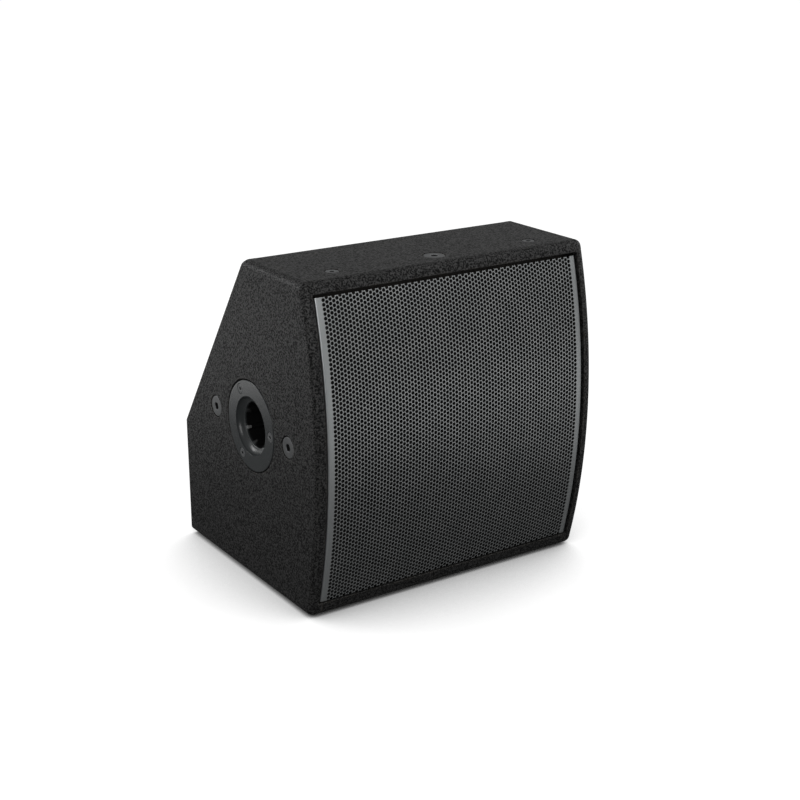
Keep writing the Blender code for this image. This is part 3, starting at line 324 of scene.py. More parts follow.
def woven(name, dark, light, scale):
    s = Surface(name)
    weave = s.math("ADD", s.waves(scale, "X"), s.waves(scale, "Z"))
    colour = s.mix(s.spread(weave, 0, 1, 0.2, 1.8), dark, light)
    s.bump(weave, 0.12 * MM, 0.6)
    return s.finish(colour, 0.9, sheen=0.2, specular=0.2)


def fibrous(name, dark, light, scale, depth, sheen=0.1):
    s = Surface(name)
    fibres = s.noise(scale, 8, 0.75)
    colour = s.mix(s.spread(fibres, 0, 1, 0.3, 0.7), dark, light)
    s.bump(fibres, depth * MM, 0.8)
    return s.finish(colour, s.spread(fibres, 0.75, 0.98), sheen=sheen, specular=0.25)


def copper_winding():
    s = Surface("copper_winding")
    turns = s.waves(900, "Y", 0.2)
    colour = s.mix(turns, (0.22, 0.075, 0.030), (0.62, 0.26, 0.11))
    s.bump(turns, 0.10 * MM, 0.8)
    return s.finish(colour, s.spread(s.noise(300, 3), 0.24, 0.42), 0.9)


def circuit_board():
    s = Surface("circuit_board")
    tracks = s.spread(s.cell_edges(70), 0.0, 1.0, 0.03, 0.05)
    tone = s.mix(tracks, (0.045, 0.130, 0.060), (0.012, 0.055, 0.028))
    s.bump(tracks, 0.05 * MM, 0.5)
    return s.finish(tone, s.spread(s.noise(500, 3), 0.30, 0.45))


def grey(level):
    return (level, level, level)


def make_looks():
    """Each look's slot name and its materials, the second one a painted shade for holes and recesses."""
    plastic, metal = moulded_plastic, worked_metal
    # Near-black painted shade for the grille's hole walls and for the hexagonal recesses of plugs and
    # screws.
    painted_hole_shade = plastic("painted_shade_in_holes", grey(0.008), grey(0.014), 0.6, 0.8, specular=0.2)
    recess = plastic("painted_recess_shade", grey(0.003), grey(0.006), 0.6, 0.8, specular=0.2)
    black = plastic("black_plastic", (0.014, 0.014, 0.015), (0.026, 0.026, 0.027), 0.42, 0.60)
    sleeve = plastic("cable_sleeve", (0.012, 0.012, 0.013), (0.022, 0.022, 0.023), 0.35, 0.5, 700)
    film = plastic("capacitor_sleeve", (0.020, 0.035, 0.120), (0.030, 0.050, 0.160), 0.2, 0.35)
    marking = plastic("white_marking", (0.62, 0.62, 0.60), (0.78, 0.78, 0.76), 0.45, 0.60)
    stained = raw_plywood("stained_plywood", (0.014, 0.013, 0.012), (0.040, 0.036, 0.032))
    steel = metal("blackened_steel", (0.050, 0.051, 0.052), (0.120, 0.122, 0.124), 0.35, 0.55, 0.7)
    zinc = metal("dull_zinc", (0.085, 0.088, 0.090), (0.200, 0.203, 0.205), 0.38, 0.58, 0.7)
    plated = metal("plated_steel", (0.38, 0.36, 0.32), (0.66, 0.64, 0.60), 0.22, 0.40)
    casting = metal("painted_casting", (0.020, 0.020, 0.021), (0.050, 0.050, 0.052), 0.45, 0.65, 0.3,
                    (1, 1, 1))
    dome = metal("formed_dome_metal", (0.42, 0.41, 0.40), (0.68, 0.66, 0.63), 0.20, 0.34)
    ferrite = fibrous("ground_ferrite", (0.020, 0.020, 0.021), (0.045, 0.045, 0.047), 700, 0.08, 0.0)
    paper = fibrous("coated_cone_pulp", grey(0.010), (0.034, 0.034, 0.036), 420, 0.12)
    wadding = fibrous("polyester_wadding", (0.42, 0.42, 0.40), (0.78, 0.78, 0.75), 260, 1.2, 0.5)
    cloth = woven("treated_cloth", (0.014, 0.013, 0.012), (0.046, 0.042, 0.038), 420)
    amber = woven("impregnated_cloth", (0.110, 0.060, 0.022), (0.260, 0.160, 0.070), 620)
    return {
        "coating": ("cabinet_coating", [coating()]),
        "grille": ("grille_steel", [grille_coat(), painted_hole_shade]),
        "scrim": ("scrim_cloth", [acoustic_cloth()]),
        "socket": ("socket_plastic", [socket_plastic()]),
        "zinc_plug": ("plug_steel", [zinc, recess]),
        "black_screw": ("black_screw", [steel, recess]),
        "black_steel": ("black_screw", [steel]),
        "zinc": ("plated_steel", [zinc]),
        "plated": ("plated_steel", [plated]),
        "rubber": ("foot_rubber", [rubber()]),
        "plastic": ("black_plastic", [black]),
        "marking": ("black_plastic", [marking]),
        "cable": ("black_plastic", [sleeve]),
        "casting": ("basket_casting", [casting]),
        "paper": ("cone_paper", [paper]),
        "cloth": ("treated_cloth", [cloth]),
        "amber_cloth": ("treated_cloth", [amber]),
        "copper": ("coil_copper", [copper_winding()]),
        "ferrite": ("magnet_ferrite", [ferrite]),
        "dome": ("dome_metal", [dome]),
        "stained": ("baffle_board", [stained]),
        "board": ("circuit_board", [circuit_board()]),
        "sleeve": ("capacitor_sleeve", [film]),
        "wadding": ("wadding", [wadding]),
    }


LOOKS = make_looks()


# ---- Mesh helpers ------------------------------------------------------------------------------
def at(x, y, z):
    """Cabinet coordinates (y from the front corners, z from the bottom panel) in the frame."""
    return Vector((x, y + FRONT_Y, z + BOTTOM_Z))


def shade(mesh, angle=SHARP_ANGLE):
    mesh.shade_smooth()
    mesh.set_sharp_from_angle(angle=angle)
    return mesh


def mesh_of(name, bm, angle=SHARP_ANGLE):
    bmesh.ops.recalc_face_normals(bm, faces=bm.faces)
    mesh = bpy.data.meshes.new(name)
    bm.to_mesh(mesh)
    bm.free()
    return shade(mesh, angle)


def ring_stack(name, rings, closed=False, angle=SHARP_ANGLE):
    """Joins rings of equal count into one skin; its ends are capped, or joined when closed."""
    bm = bmesh.new()
    loops = [[bm.verts.new(point) for point in ring] for ring in rings]
    pairs = list(zip(loops, loops[1:]))
    if closed:
        pairs.append((loops[-1], loops[0]))
    count = len(loops[0])
    for low, high in pairs:
        for i in range(count):
            j = (i + 1) % count
            bm.faces.new((low[i], low[j], high[j], high[i]))
    if not closed:
        bm.faces.new(loops[0])
        bm.faces.new(loops[-1])
    return mesh_of(name, bm, angle)


def circle(radius, along, segments):
    points = []
    for i in range(segments):
        turn = 2 * math.pi * i / segments
        r = radius(turn) if callable(radius) else radius
        points.append((r * math.cos(turn), r * math.sin(turn), along))
    return points


def turned(name, profile, segments, place, rotation, closed=False, angle=SHARP_ANGLE):
    """A turned piece from (radius, along) pairs, its axis set by place and rotation."""
    mesh = ring_stack(name, [circle(r, a, segments) for r, a in profile], closed, angle)
    mesh.transform(Matrix.Translation(place) @ rotation.to_matrix().to_4x4())
    return mesh


def rounded(profile, radius, steps=3, closed=False):
    """Rounds the corners of a profile of (radius, along) pairs by up to the given radius."""
    points = [Vector(p) for p in profile]
    result = []
    last = len(points) - 1
    for i, p in enumerate(points):
        if not closed and i in (0, last):
            result.append(tuple(p))
            continue
        before, after = points[i - 1] - p, points[(i + 1) % len(points)] - p
        reach = min(radius, before.length * 0.45, after.length * 0.45)
        start, end = p + before.normalized() * reach, p + after.normalized() * reach
        for k in range(steps + 1):
            t = k / steps
            result.append(tuple(start * (1 - t) ** 2 + p * 2 * t * (1 - t) + end * t ** 2))
    return result


def hexagon(across_flats):
    def radius(turn):
        from_flat = (turn + math.pi / 6) % (math.pi / 3) - math.pi / 6
        return across_flats / 2 / math.cos(from_flat)
    return radius


def extruded(name, outline, low, high):
    return ring_stack(name, [[at(x, y, z) for y, z in outline] for x in (low, high)])


def box_middle(node):
    low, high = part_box(node)
    return (low + high) / 2


def span(node):
    """Outer radius, front and back of a piece whose axis runs along Y."""
    low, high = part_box(node)
    return (high.x - low.x) / 2, low.y, high.y


def quarter(steps, first=1):
    """(1 - cos, 1 - sin) along a quarter turn, for rounding the corner of a profile."""
    turns = [math.pi / 2 * k / steps for k in range(first, steps + 1)]
    return [(1 - math.cos(turn), 1 - math.sin(turn)) for turn in turns]


def put(mesh, place, *rotations):
    """Turns a mesh about its origin, the last rotation first, and moves it to its place."""
    matrix = Matrix.Translation(place)
    for angle, axis in rotations:
        matrix = matrix @ Matrix.Rotation(angle, 4, axis)
    mesh.transform(matrix)
    return mesh


def close_border(bm, first, second):
    """Walls between the borders of two grids of vertices."""
    def border(grid):
        return grid[0] + [row[-1] for row in grid[1:]] + grid[-1][-2::-1] + [row[0] for row in grid[-2:0:-1]]

    outer, inner = border(first), border(second)
    for i in range(len(outer)):
        j = (i + 1) % len(outer)
        bm.faces.new((outer[i], outer[j], inner[j], inner[i]))


def fill_grid(bm, grid):
    for near, far in zip(grid, grid[1:]):
        for i in range(len(near) - 1):
            bm.faces.new((near[i], near[i + 1], far[i + 1], far[i]))


def new_object(name, data):
    item = bpy.data.objects.new(name, data)
    bpy.context.scene.collection.objects.link(item)
    return item


def add_piece(name, mesh, look, node=None, body="cabinet"):
    """A visible piece: its look, the CAD node that it replaces, if any, and the body it rides on."""
    slot, materials = LOOKS[look]
    mesh.name = name
    piece = new_object(name, mesh)
    for material in materials:
        mesh.materials.append(material)
    if body:
        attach(piece, body)
    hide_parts(*([node] if node else []))
    return piece


def carve(mesh, tools):
    """Cuts each tool mesh out of the mesh and returns the result."""
    target = new_object("carve_target", mesh)
    cutters = [new_object(tool.name, tool) for tool in tools]
    for cutter in cutters:
        change = target.modifiers.new(cutter.name, "BOOLEAN")
        change.operation = "DIFFERENCE"
        change.solver = "EXACT"
        change.object = cutter
    graph = bpy.context.evaluated_depsgraph_get()
    result = bpy.data.meshes.new_from_object(target.evaluated_get(graph), depsgraph=graph)
    for item in [target] + cutters:
        bpy.data.objects.remove(item)
    result.materials.clear()
    return shade(result)


# ---- The cabinet -------------------------------------------------------------------------------
ARC_STEPS = 64
CORNER_STEPS = 10
REAR_EDGE_STEPS = 4
RIM_STEPS = 12
RIM_SHARE = 0.985
PAINT_RADIUS = 0.6 * MM
BACKWARD = Vector((1.0, 0.0))
TOP_TANGENT = Vector((-math.sin(ARC_HALF_ANGLE), -math.cos(ARC_HALF_ANGLE)))
BOTTOM_TANGENT = Vector((-math.sin(ARC_HALF_ANGLE), math.cos(ARC_HALF_ANGLE)))
ARC_TRIM = EDGE_RADIUS / math.tan(math.pi / 4 + ARC_HALF_ANGLE / 2) / ARC_RADIUS


def front_point(turn, inset=0.0):
    radius = ARC_RADIUS - inset
    return (ARC_CENTRE_Y - radius * math.cos(turn), MID_HEIGHT + radius * math.sin(turn))


def corner_arc(corner, toward_a, toward_b, radius, steps):
    half = toward_a.angle(toward_b) / 2
    centre = corner + (toward_a + toward_b).normalized() * (radius / math.sin(half))
    reach = radius / math.tan(half)
    start, end = corner + toward_a * reach - centre, corner + toward_b * reach - centre
    turn = start.angle(end)
    points = []
    for i in range(steps + 1):
        t = i / steps
        near, far = (math.sin(share * turn) / math.sin(turn) for share in (1 - t, t))
        points.append(tuple(centre + (start * near + end * far)))
    return points


def arc_angles():
    reach = ARC_HALF_ANGLE - ARC_TRIM
    return [reach * (2 * i / ARC_STEPS - 1) for i in range(1, ARC_STEPS)]


def top_corner():
    return corner_arc(Vector((0, HEIGHT)), TOP_TANGENT, BACKWARD, EDGE_RADIUS, CORNER_STEPS)


def bottom_corner():
    return corner_arc(Vector((0, 0)), BACKWARD, BOTTOM_TANGENT, EDGE_RADIUS, CORNER_STEPS)


def slant_y(z, depth=0.0):
    return BASE_DEPTH - (z - LOWER_REAR) * math.tan(SLANT_ANGLE) - depth / math.cos(SLANT_ANGLE)


def inset_outline(outline, distances):
    """Moves each edge of a closed outline inwards by its own distance; edge i runs from point i."""
    points = [Vector(p) for p in outline]
    count = len(points)
    moved = []
    for i, p in enumerate(points):
        before, after = (p - points[i - 1]).normalized(), (points[(i + 1) % count] - p).normalized()
        n1, n2 = Vector((before.y, -before.x)), Vector((after.y, -after.x))
        d1, d2 = distances[i - 1], distances[i]
        cross = n1.x * n2.y - n1.y * n2.x
        if abs(cross) < 1e-7:
            moved.append(tuple(p + n1 * d1))
            continue
        a, b = n1.dot(p) + d1, n2.dot(p) + d2
        moved.append(((a * n2.y - b * n1.y) / cross, (n1.x * b - n2.x * a) / cross))
    return moved


def side_mesh(name, side):
    """A side panel: the cabinet's outline, rounded towards its outer face on the three front edges."""
    front = bottom_corner() + [front_point(turn) for turn in arc_angles()] + top_corner()
    outline = front + [(TOP_DEPTH, HEIGHT), (BASE_DEPTH, LOWER_REAR), (BASE_DEPTH, 0)]
    rear_edges = {len(front), len(front) + 1}
    rings = [[at(side * INNER_X, y, z) for y, z in outline]]
    for down, out in quarter(RIM_STEPS, 0):
        rise = EDGE_RADIUS * out
        front_inset = EDGE_RADIUS * RIM_SHARE * down
        into_rear = max(0.0, REAR_EDGE_RADIUS - rise)
        rear_inset = REAR_EDGE_RADIUS - math.sqrt(REAR_EDGE_RADIUS ** 2 - into_rear ** 2)
        distances = [rear_inset if i in rear_edges else front_inset for i in range(len(outline))]
        ring = inset_outline(outline, distances)
        rings.append([at(side * (HALF_WIDTH - rise), y, z) for y, z in ring])
    return ring_stack(name, rings)


def opening_tool():
    half = HALF_WIDTH - FRAME_SIDE
    outline = [(-3 * FRONT_SAGITTA, FRAME_BOTTOM), (BAFFLE_FRONT - 0.3 * MM, FRAME_BOTTOM),
               (BAFFLE_FRONT - 0.3 * MM, HEIGHT - FRAME_TOP), (-3 * FRONT_SAGITTA, HEIGHT - FRAME_TOP)]
    return extruded("opening_tool", outline, -half, half)


def soften_opening(mesh):
    """Rounds the front edges of the grille opening, as thick paint does."""
    half, tolerance = HALF_WIDTH - FRAME_SIDE, 0.02 * MM
    levels = (FRAME_BOTTOM + BOTTOM_Z, HEIGHT - FRAME_TOP + BOTTOM_Z)

    def on_opening(p, q):
        upright = all(abs(abs(v.x) - half) < tolerance for v in (p, q))
        level = any(all(abs(v.z - z) < tolerance and abs(v.x) < half + tolerance for v in (p, q))
                    for z in levels)
        in_front = max(p.y, q.y) < FRONT_Y + BAFFLE_FRONT - 2 * MM
        return (upright or level) and in_front

    bm = bmesh.new()
    bm.from_mesh(mesh)
    bmesh.ops.remove_doubles(bm, verts=bm.verts, dist=0.002 * MM)
    edges = [e for e in bm.edges if on_opening(e.verts[0].co, e.verts[1].co)
             and e.is_manifold and e.calc_face_angle(0) > math.radians(50)]
    bmesh.ops.bevel(bm, geom=edges, offset=PAINT_RADIUS, segments=3, profile=0.5,
                     affect="EDGES")
    bm.to_mesh(mesh)
    bm.free()
    return shade(mesh)


def flared_hole(name, radius, depth, place, rotation, through=None, lip=0.5 * MM, segments=64):
    """A round recess whose mouth is eased by paint, with a narrower through hole if asked."""
    profile = [(radius + lip, -3 * MM), (radius + lip, 0)]
    profile += [(radius + lip * out, lip * down) for down, out in quarter(3)]
    profile.append((radius, depth))
    if through:
        profile += [(through, depth), (through, depth + 2 * PANEL)]
    return turned(name, profile, segments, place, rotation)


def pill(length, width, steps):
    radius = width / 2
    points = []
    for side in (1, -1):
        for i in range(steps + 1):
            turn = math.pi * i / steps - math.pi / 2
            along = length / 2 - radius + radius * math.cos(turn)
            points.append((side * along, side * radius * math.sin(turn)))
    return points


def ease_corner(outline, index):
    """Rounds one corner of a panel's outline as the cabinet's rear edges are."""
    corner = Vector(outline[index])
    before = (Vector(outline[index - 1]) - corner).normalized()
    after = (Vector(outline[(index + 1) % len(outline)]) - corner).normalized()
    arc = corner_arc(corner, before, after, REAR_EDGE_RADIUS, REAR_EDGE_STEPS)
    return outline[:index] + arc + outline[index + 1:]


def even_normals(piece):
    """Lets the large flat faces set the shading, so that a cut's small faces don't smear it."""
    change = piece.modifiers.new("even_normals", "WEIGHTED_NORMAL")
    change.keep_sharp = True
    return piece


def front_run(low, high):
    """The front arc between two heights, on the same points wherever panels meet."""
    start, end = (math.asin((z - MID_HEIGHT) / ARC_RADIUS) for z in (low, high))
    inner = [turn for turn in arc_angles() if start + 1e-6 < turn < end - 1e-6]
    return start, inner, end


def top_mesh():
    under = HEIGHT - PANEL
    start, inner, _ = front_run(under, HEIGHT)
    outline = [front_point(turn) for turn in [start] + inner] + top_corner()
    outline += [(slant_y(HEIGHT, PANEL), HEIGHT), (slant_y(under, PANEL), under)]
    return extruded("top_panel", outline, -INNER_X, INNER_X)


def bottom_mesh():
    _, inner, end = front_run(0, PANEL)
    outline = bottom_corner() + [front_point(turn) for turn in inner + [end]]
    outline += [(BASE_DEPTH - PANEL, PANEL), (BASE_DEPTH - PANEL, 0)]
    return extruded("bottom_panel", outline, -INNER_X, INNER_X)


def slanted_mesh():
    outline = [(TOP_DEPTH, HEIGHT), (BASE_DEPTH, LOWER_REAR), (slant_y(LOWER_REAR, PANEL), LOWER_REAR),
               (slant_y(HEIGHT, PANEL), HEIGHT)]
    return extruded("rear_panel_slanted", ease_corner(outline, 0), -INNER_X, INNER_X)


def lower_rear_mesh():
    inner = BASE_DEPTH - PANEL
    outline = [(BASE_DEPTH, LOWER_REAR), (BASE_DEPTH, 0), (inner, 0), (inner, LOWER_REAR)]
    return extruded("rear_panel_lower", ease_corner(outline, 1), -INNER_X, INNER_X)


HOLE_GAP = 0.55 * MM
HEAD_SHARE = 0.33
TOP_Z = BOTTOM_Z + HEIGHT
TOP_FASTENERS = ("rigging_plug_top", "top_screw_left", "top_screw_right")
SOCKET_SCREWS = ("front", "upper", "lower")
ENDS = ("front", "rear")
SIDES = ("left", "right")


def fastener_seat(node, rotation, surface, sink=0.0):
    """A fastener's radius and length, and the middle of its face, sunk below the surface."""
    low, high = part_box(node)
    place = (low + high) / 2
    if rotation is DOWNWARD:
        place.z = surface - sink
        return (high.x - low.x) / 2, high.z - low.z, place
    if rotation is INTO_MINUS_Y:
        place.y = surface - sink
        return (high.x - low.x) / 2, high.y - low.y, place
    place.x = surface + (sink if rotation is INTO_PLUS_X else -sink)
    return (high.z - low.z) / 2, high.x - low.x, place


def plug_hole(node, rotation, surface):
    """The counterbore that a flush plug sits in: centred on the plug, starting at the surface."""
    radius, _, place = fastener_seat(node, rotation, surface)
    depth = HEAD_SHARE * radius + 0.4 * MM
    return flared_hole("hole_" + node, radius + HOLE_GAP, depth, place, rotation, 0.58 * radius)


HANDLE_LENGTH = 110 * MM
HANDLE_WIDTH = 34 * MM
HANDLE_EASE = 3.5 * MM


def handle_rings(profile):
    """Rings of the handle's rounded slot from (x, margin around it) pairs."""
    rings = []
    for x, margin in profile:
        outline = pill(HANDLE_LENGTH + 2 * margin, HANDLE_WIDTH + 2 * margin, 24)
        rings.append([at(x, SOCKET_Y + short, MID_HEIGHT + long) for long, short in outline])
    return rings


def handle_slot_tool():
    profile = [(4 * MM, HANDLE_EASE), (0, HANDLE_EASE)]
    profile += [(-HANDLE_EASE * down, HANDLE_EASE * out) for down, out in quarter(6)]
    profile.append((-2 * PANEL, 0))
    return ring_stack("handle_slot", handle_rings([(HALF_WIDTH + rise, margin) for rise, margin in profile]))


def rounded_rectangle(width, height, radius, steps=6):
    points = []
    for corner, (sx, sz) in enumerate(((1, 1), (-1, 1), (-1, -1), (1, -1))):
        for i in range(steps + 1):
            turn = math.pi / 2 * (corner + i / steps)
            points.append((sx * (width / 2 - radius) + radius * math.cos(turn),
                           sz * (height / 2 - radius) + radius * math.sin(turn)))
    return points


dish_low, dish_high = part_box("connector_dish")
DISH = (dish_low + dish_high) / 2
DISH_WIDTH = dish_high.x - dish_low.x
DISH_HEIGHT = dish_high.z - dish_low.z
DISH_FACE = dish_high.y
DISH_RIM = 11 * MM
DISH_FLANGE = 2 * MM
DISH_WALL = 2.2 * MM
SHAFT_HOLE = 3.3 * MM
SCREW_HOLE = 1.8 * MM
SPEAKER_SOCKETS = ("speaker_socket_input", "speaker_socket_link")
DISH_FLOOR = dish_low.y + DISH_WALL
DISH_SCREWS = ("left_lower", "right_lower", "left_upper", "right_upper")


def dish_rings(profile, radius):
    """Rings of rounded rectangles from (margin inside the flange's edge, y) pairs."""
    rings = []
    for margin, y in profile:
        corner = max(1.0 * MM, radius - margin * 0.35)
        outline = rounded_rectangle(DISH_WIDTH - 2 * margin, DISH_HEIGHT - 2 * margin, corner)
        rings.append([Vector((DISH.x + x, y, DISH.z + z)) for x, z in outline])
    return rings


def dish_seat_tool():
    gap = 0.5 * MM
    back = DISH_FACE - DISH_FLANGE - 0.3 * MM
    profile = [(DISH_RIM - gap, DISH_FACE - 2 * PANEL), (DISH_RIM - gap, back), (-gap, back),
               (-gap, DISH_FACE + PANEL)]
    return ring_stack("dish_seat", dish_rings(profile, 5 * MM))


def round_tool(name, node, radius, length=40 * MM):
    """A drill along Y through the middle of a node."""
    place = box_middle(node)
    place.y = DISH_FACE + 2 * MM
    return turned(name, [(radius, 0), (radius, length)], 48, place, INTO_MINUS_Y)


def cabinet():
    opening = opening_tool()
    seat_place = at(-HALF_WIDTH, SOCKET_Y, SOCKET_Z)
    seat = flared_hole("socket_seat", SOCKET_RADIUS + 1.1 * MM, 3.3 * MM, seat_place, INTO_PLUS_X,
                       30.5 * MM, 0.6 * MM, 128)
    left_plugs = [plug_hole("rigging_plug_left_" + end, INTO_PLUS_X, -HALF_WIDTH) for end in ENDS]
    right_plugs = [plug_hole("rigging_plug_right_" + end, INTO_MINUS_X, HALF_WIDTH) for end in ENDS]
    top_plugs = [plug_hole(node, DOWNWARD, TOP_Z) for node in TOP_FASTENERS]
    dish_holes = [round_tool("hole_dish_" + name, "dish_screw_" + name, SCREW_HOLE) for name in DISH_SCREWS]
    panels = (
        ("side_panel_left", side_mesh("side_panel_left", -1), [opening, seat] + left_plugs),
        ("side_panel_right", side_mesh("side_panel_right", 1), [opening, handle_slot_tool()] + right_plugs),
        ("top_panel", top_mesh(), [opening] + top_plugs),
        ("bottom_panel", bottom_mesh(), [opening]),
        ("rear_panel_slanted", slanted_mesh(), []),
        ("rear_panel_lower", lower_rear_mesh(), [dish_seat_tool()] + dish_holes),
    )
    for node, mesh, tools in panels:
        if tools:
            mesh = carve(mesh, tools)
        if opening in tools:
            mesh = soften_opening(mesh)
        even_normals(add_piece("coated_" + node, mesh, "coating", node))


# ---- The grille --------------------------------------------------------------------------------
COLUMNS = 80
COLUMN_STEP = 3.12 * MM
HOLE_PITCH = 3.635 * MM
HOLE_RADIUS = 1.65 * MM
HOLE_SIDES = 8
GRILLE_HALF_WIDTH = grille_high.x
GRILLE_INSET = 1.45 * MM
GRILLE_THICKNESS = 1.2 * MM
GRILLE_HALF_ANGLE = math.asin((grille_high.z - grille_low.z) / 2 / (ARC_RADIUS - GRILLE_INSET))
FIRST_HOLE = 2.35 * MM
FOLD_RADIUS = 1.7 * MM
FOLD_DEPTH = 6 * MM
SCRIM_STEPS = 96
SCRIM_GAP = 0.35 * MM
SCRIM_THICKNESS = 0.5 * MM


def grille_flat():
    """The flat perforated sheet as (x, run, depth) points and faces: hexagonal cells around holes."""
    radius = ARC_RADIUS - GRILLE_INSET
    half_run = radius * GRILLE_HALF_ANGLE
    rows = int(2 * half_run / HOLE_PITCH) + 4
    far = (COLUMN_STEP ** 2 + HOLE_PITCH ** 2 / 4) / (2 * COLUMN_STEP)
    near = (COLUMN_STEP ** 2 - HOLE_PITCH ** 2 / 4) / (2 * COLUMN_STEP)
    rise = HOLE_PITCH / 2
    corners = [(far, 0), (near, rise), (-near, rise), (-far, 0), (-near, -rise), (near, -rise)]
    turns = [2 * math.pi * i / HOLE_SIDES for i in range(HOLE_SIDES)]
    hole = [(HOLE_RADIUS * math.cos(t), HOLE_RADIUS * math.sin(t)) for t in turns]
    sectors = ((0, 1, (0, 1)), (1, 2, (1, 2, 3)), (2, 3, (3, 4)), (3, 4, (4, 5)), (4, 5, (5, 6, 7)),
               (5, 0, (7, 0)))
    points, index = [], {}

    def vertex(x, run, depth):
        key = (round(x * 1e7), round(run * 1e7), round(depth * 1e7))
        if key not in index:
            index[key] = len(points)
            points.append((x, run, depth))
        return index[key]

    faces, walls = [], []
    first = half_run - FIRST_HOLE
    for column in range(COLUMNS):
        x = (column - (COLUMNS - 1) / 2) * COLUMN_STEP
        start = first + (HOLE_PITCH / 2 if column % 2 else 0) + HOLE_PITCH
        for row in range(rows):
            run = start - row * HOLE_PITCH
            rim = [[vertex(x + hx, run + hy, d) for hx, hy in hole] for d in (0, GRILLE_THICKNESS)]
            edge = [[vertex(x + cx, run + cy, d) for cx, cy in corners] for d in (0, GRILLE_THICKNESS)]
            for a, b, arc in sectors:
                front = [edge[0][a], edge[0][b]] + [rim[0][i] for i in reversed(arc)]
                back = [edge[1][b], edge[1][a]] + [rim[1][i] for i in arc]
                faces += [front, back]
            for i in range(HOLE_SIDES):
                j = (i + 1) % HOLE_SIDES
                walls.append(len(faces))
                faces.append([rim[0][i], rim[0][j], rim[1][j], rim[1][i]])
            for side, last in ((-1, 0), (1, COLUMNS - 1)):
                if column == last:
                    faces += edge_strip(vertex, x, run, side, (far, near, rise))
    return points, faces, walls, half_run


def edge_strip(vertex, x, run, side, cell):
    """The plain strip beside an outermost hole, folded back at the sheet's edge."""
    far, near, rise = cell
    centre = GRILLE_HALF_WIDTH - FOLD_RADIUS
    inner = FOLD_RADIUS - GRILLE_THICKNESS
    front = [(centre + FOLD_RADIUS * (1 - out), FOLD_RADIUS * down) for down, out in quarter(4, 0)]
    back = [(centre + inner * (1 - out), FOLD_RADIUS - inner * (1 - down)) for down, out in quarter(4, 0)]
    front.append((GRILLE_HALF_WIDTH, FOLD_DEPTH))
    back.append((GRILLE_HALF_WIDTH - GRILLE_THICKNESS, FOLD_DEPTH))
    section = front + back[::-1]

    def row_of(level, reach):
        start = [vertex(x + side * reach, level, depth) for depth in (0, GRILLE_THICKNESS)]
        return [start[0]] + [vertex(side * sx, level, sd) for sx, sd in section] + [start[1]]

    faces = []
    for low, high, near_low, near_high in ((run - rise, run, near, far), (run, run + rise, far, near)):
        lows = row_of(low, near_low)
        highs = row_of(high, near_high)
        for i in range(len(lows) - 1):
            faces.append([lows[i], lows[i + 1], highs[i + 1], highs[i]])
    return faces


def grille_mesh():
    points, faces, walls, half_run = grille_flat()
    mesh = bpy.data.meshes.new("perforated_grille")
    mesh.from_pydata(points, [], faces)
    # The hole walls take the second material: painted shade in the holes.
    slots = np.zeros(len(faces), np.int32)
    slots[walls] = 1
    mesh.polygons.foreach_set("material_index", slots)
    bm = bmesh.new()
    bm.from_mesh(mesh)
    for side in (-1, 1):
        geometry = bm.verts[:] + bm.edges[:] + bm.faces[:]
        bmesh.ops.bisect_plane(bm, geom=geometry, dist=1e-6, plane_co=(0, side * half_run, 0),
                               plane_no=(0, side, 0), clear_outer=True)
        rim = [e for e in bm.edges if e.is_boundary
               and all(abs(v.co.y - side * half_run) < 1e-5 for v in e.verts)]
        bmesh.ops.holes_fill(bm, edges=rim, sides=0)
    bmesh.ops.recalc_face_normals(bm, faces=bm.faces)
    bm.to_mesh(mesh)
    bm.free()
    flat = np.empty(len(mesh.vertices) * 3, np.float32)
    mesh.vertices.foreach_get("co", flat)
    flat = flat.reshape(-1, 3)
    turn = flat[:, 1] / (ARC_RADIUS - GRILLE_INSET)
    radius = ARC_RADIUS - GRILLE_INSET - flat[:, 2]
    bent = np.column_stack((flat[:, 0], FRONT_Y + ARC_CENTRE_Y - radius * np.cos(turn),
                            BOTTOM_Z + MID_HEIGHT + radius * np.sin(turn)))
    mesh.vertices.foreach_set("co", bent.astype(np.float32).ravel())
    mesh.flip_normals()
    mesh.update()
    return shade(mesh, math.radians(50))


def scrim_mesh():
    """A cloth just behind the sheet, a little slack between its edges."""
    low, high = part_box("grille_scrim")
    half_run = math.asin((high.z - low.z) / 2 / (ARC_RADIUS - GRILLE_INSET - GRILLE_THICKNESS))
    steps = [2 * i / SCRIM_STEPS - 1 for i in range(SCRIM_STEPS + 1)]
    bm = bmesh.new()
    grids = []
    for depth in (0, SCRIM_THICKNESS):
        grid = []
        for v in steps:
            row = []
            for u in steps:
                x = low.x + (high.x - low.x) * (u + 1) / 2
                slack = SCRIM_GAP * (1 - u ** 2) * (1 - v ** 2)
                inset = GRILLE_INSET + GRILLE_THICKNESS + SCRIM_GAP + slack + depth
                row.append(bm.verts.new(at(x, *front_point(half_run * v, inset))))
            grid.append(row)
        grids.append(grid)
    for grid in grids:
        fill_grid(bm, grid)
    close_border(bm, *grids)
    return mesh_of("acoustic_scrim", bm)


def grille():
    add_piece("perforated_grille", grille_mesh(), "grille", "grille")
    add_piece("acoustic_scrim", scrim_mesh(), "scrim", "grille_scrim")


# ---- Screws and plugs --------------------------------------------------------------------------
FASTENER_SEGMENTS = 72
HEAD_SINK = 0.35 * MM
PLUG_FLATS = 6.0 * MM
TOP_SCREW_FLATS = 4.2 * MM
SOCKET_SCREW_FLATS = 2.7 * MM
DISH_SCREW_FLATS = 2.2 * MM
THREAD_PITCH = 0.9 * MM
THREAD_END = 0.3 * MM


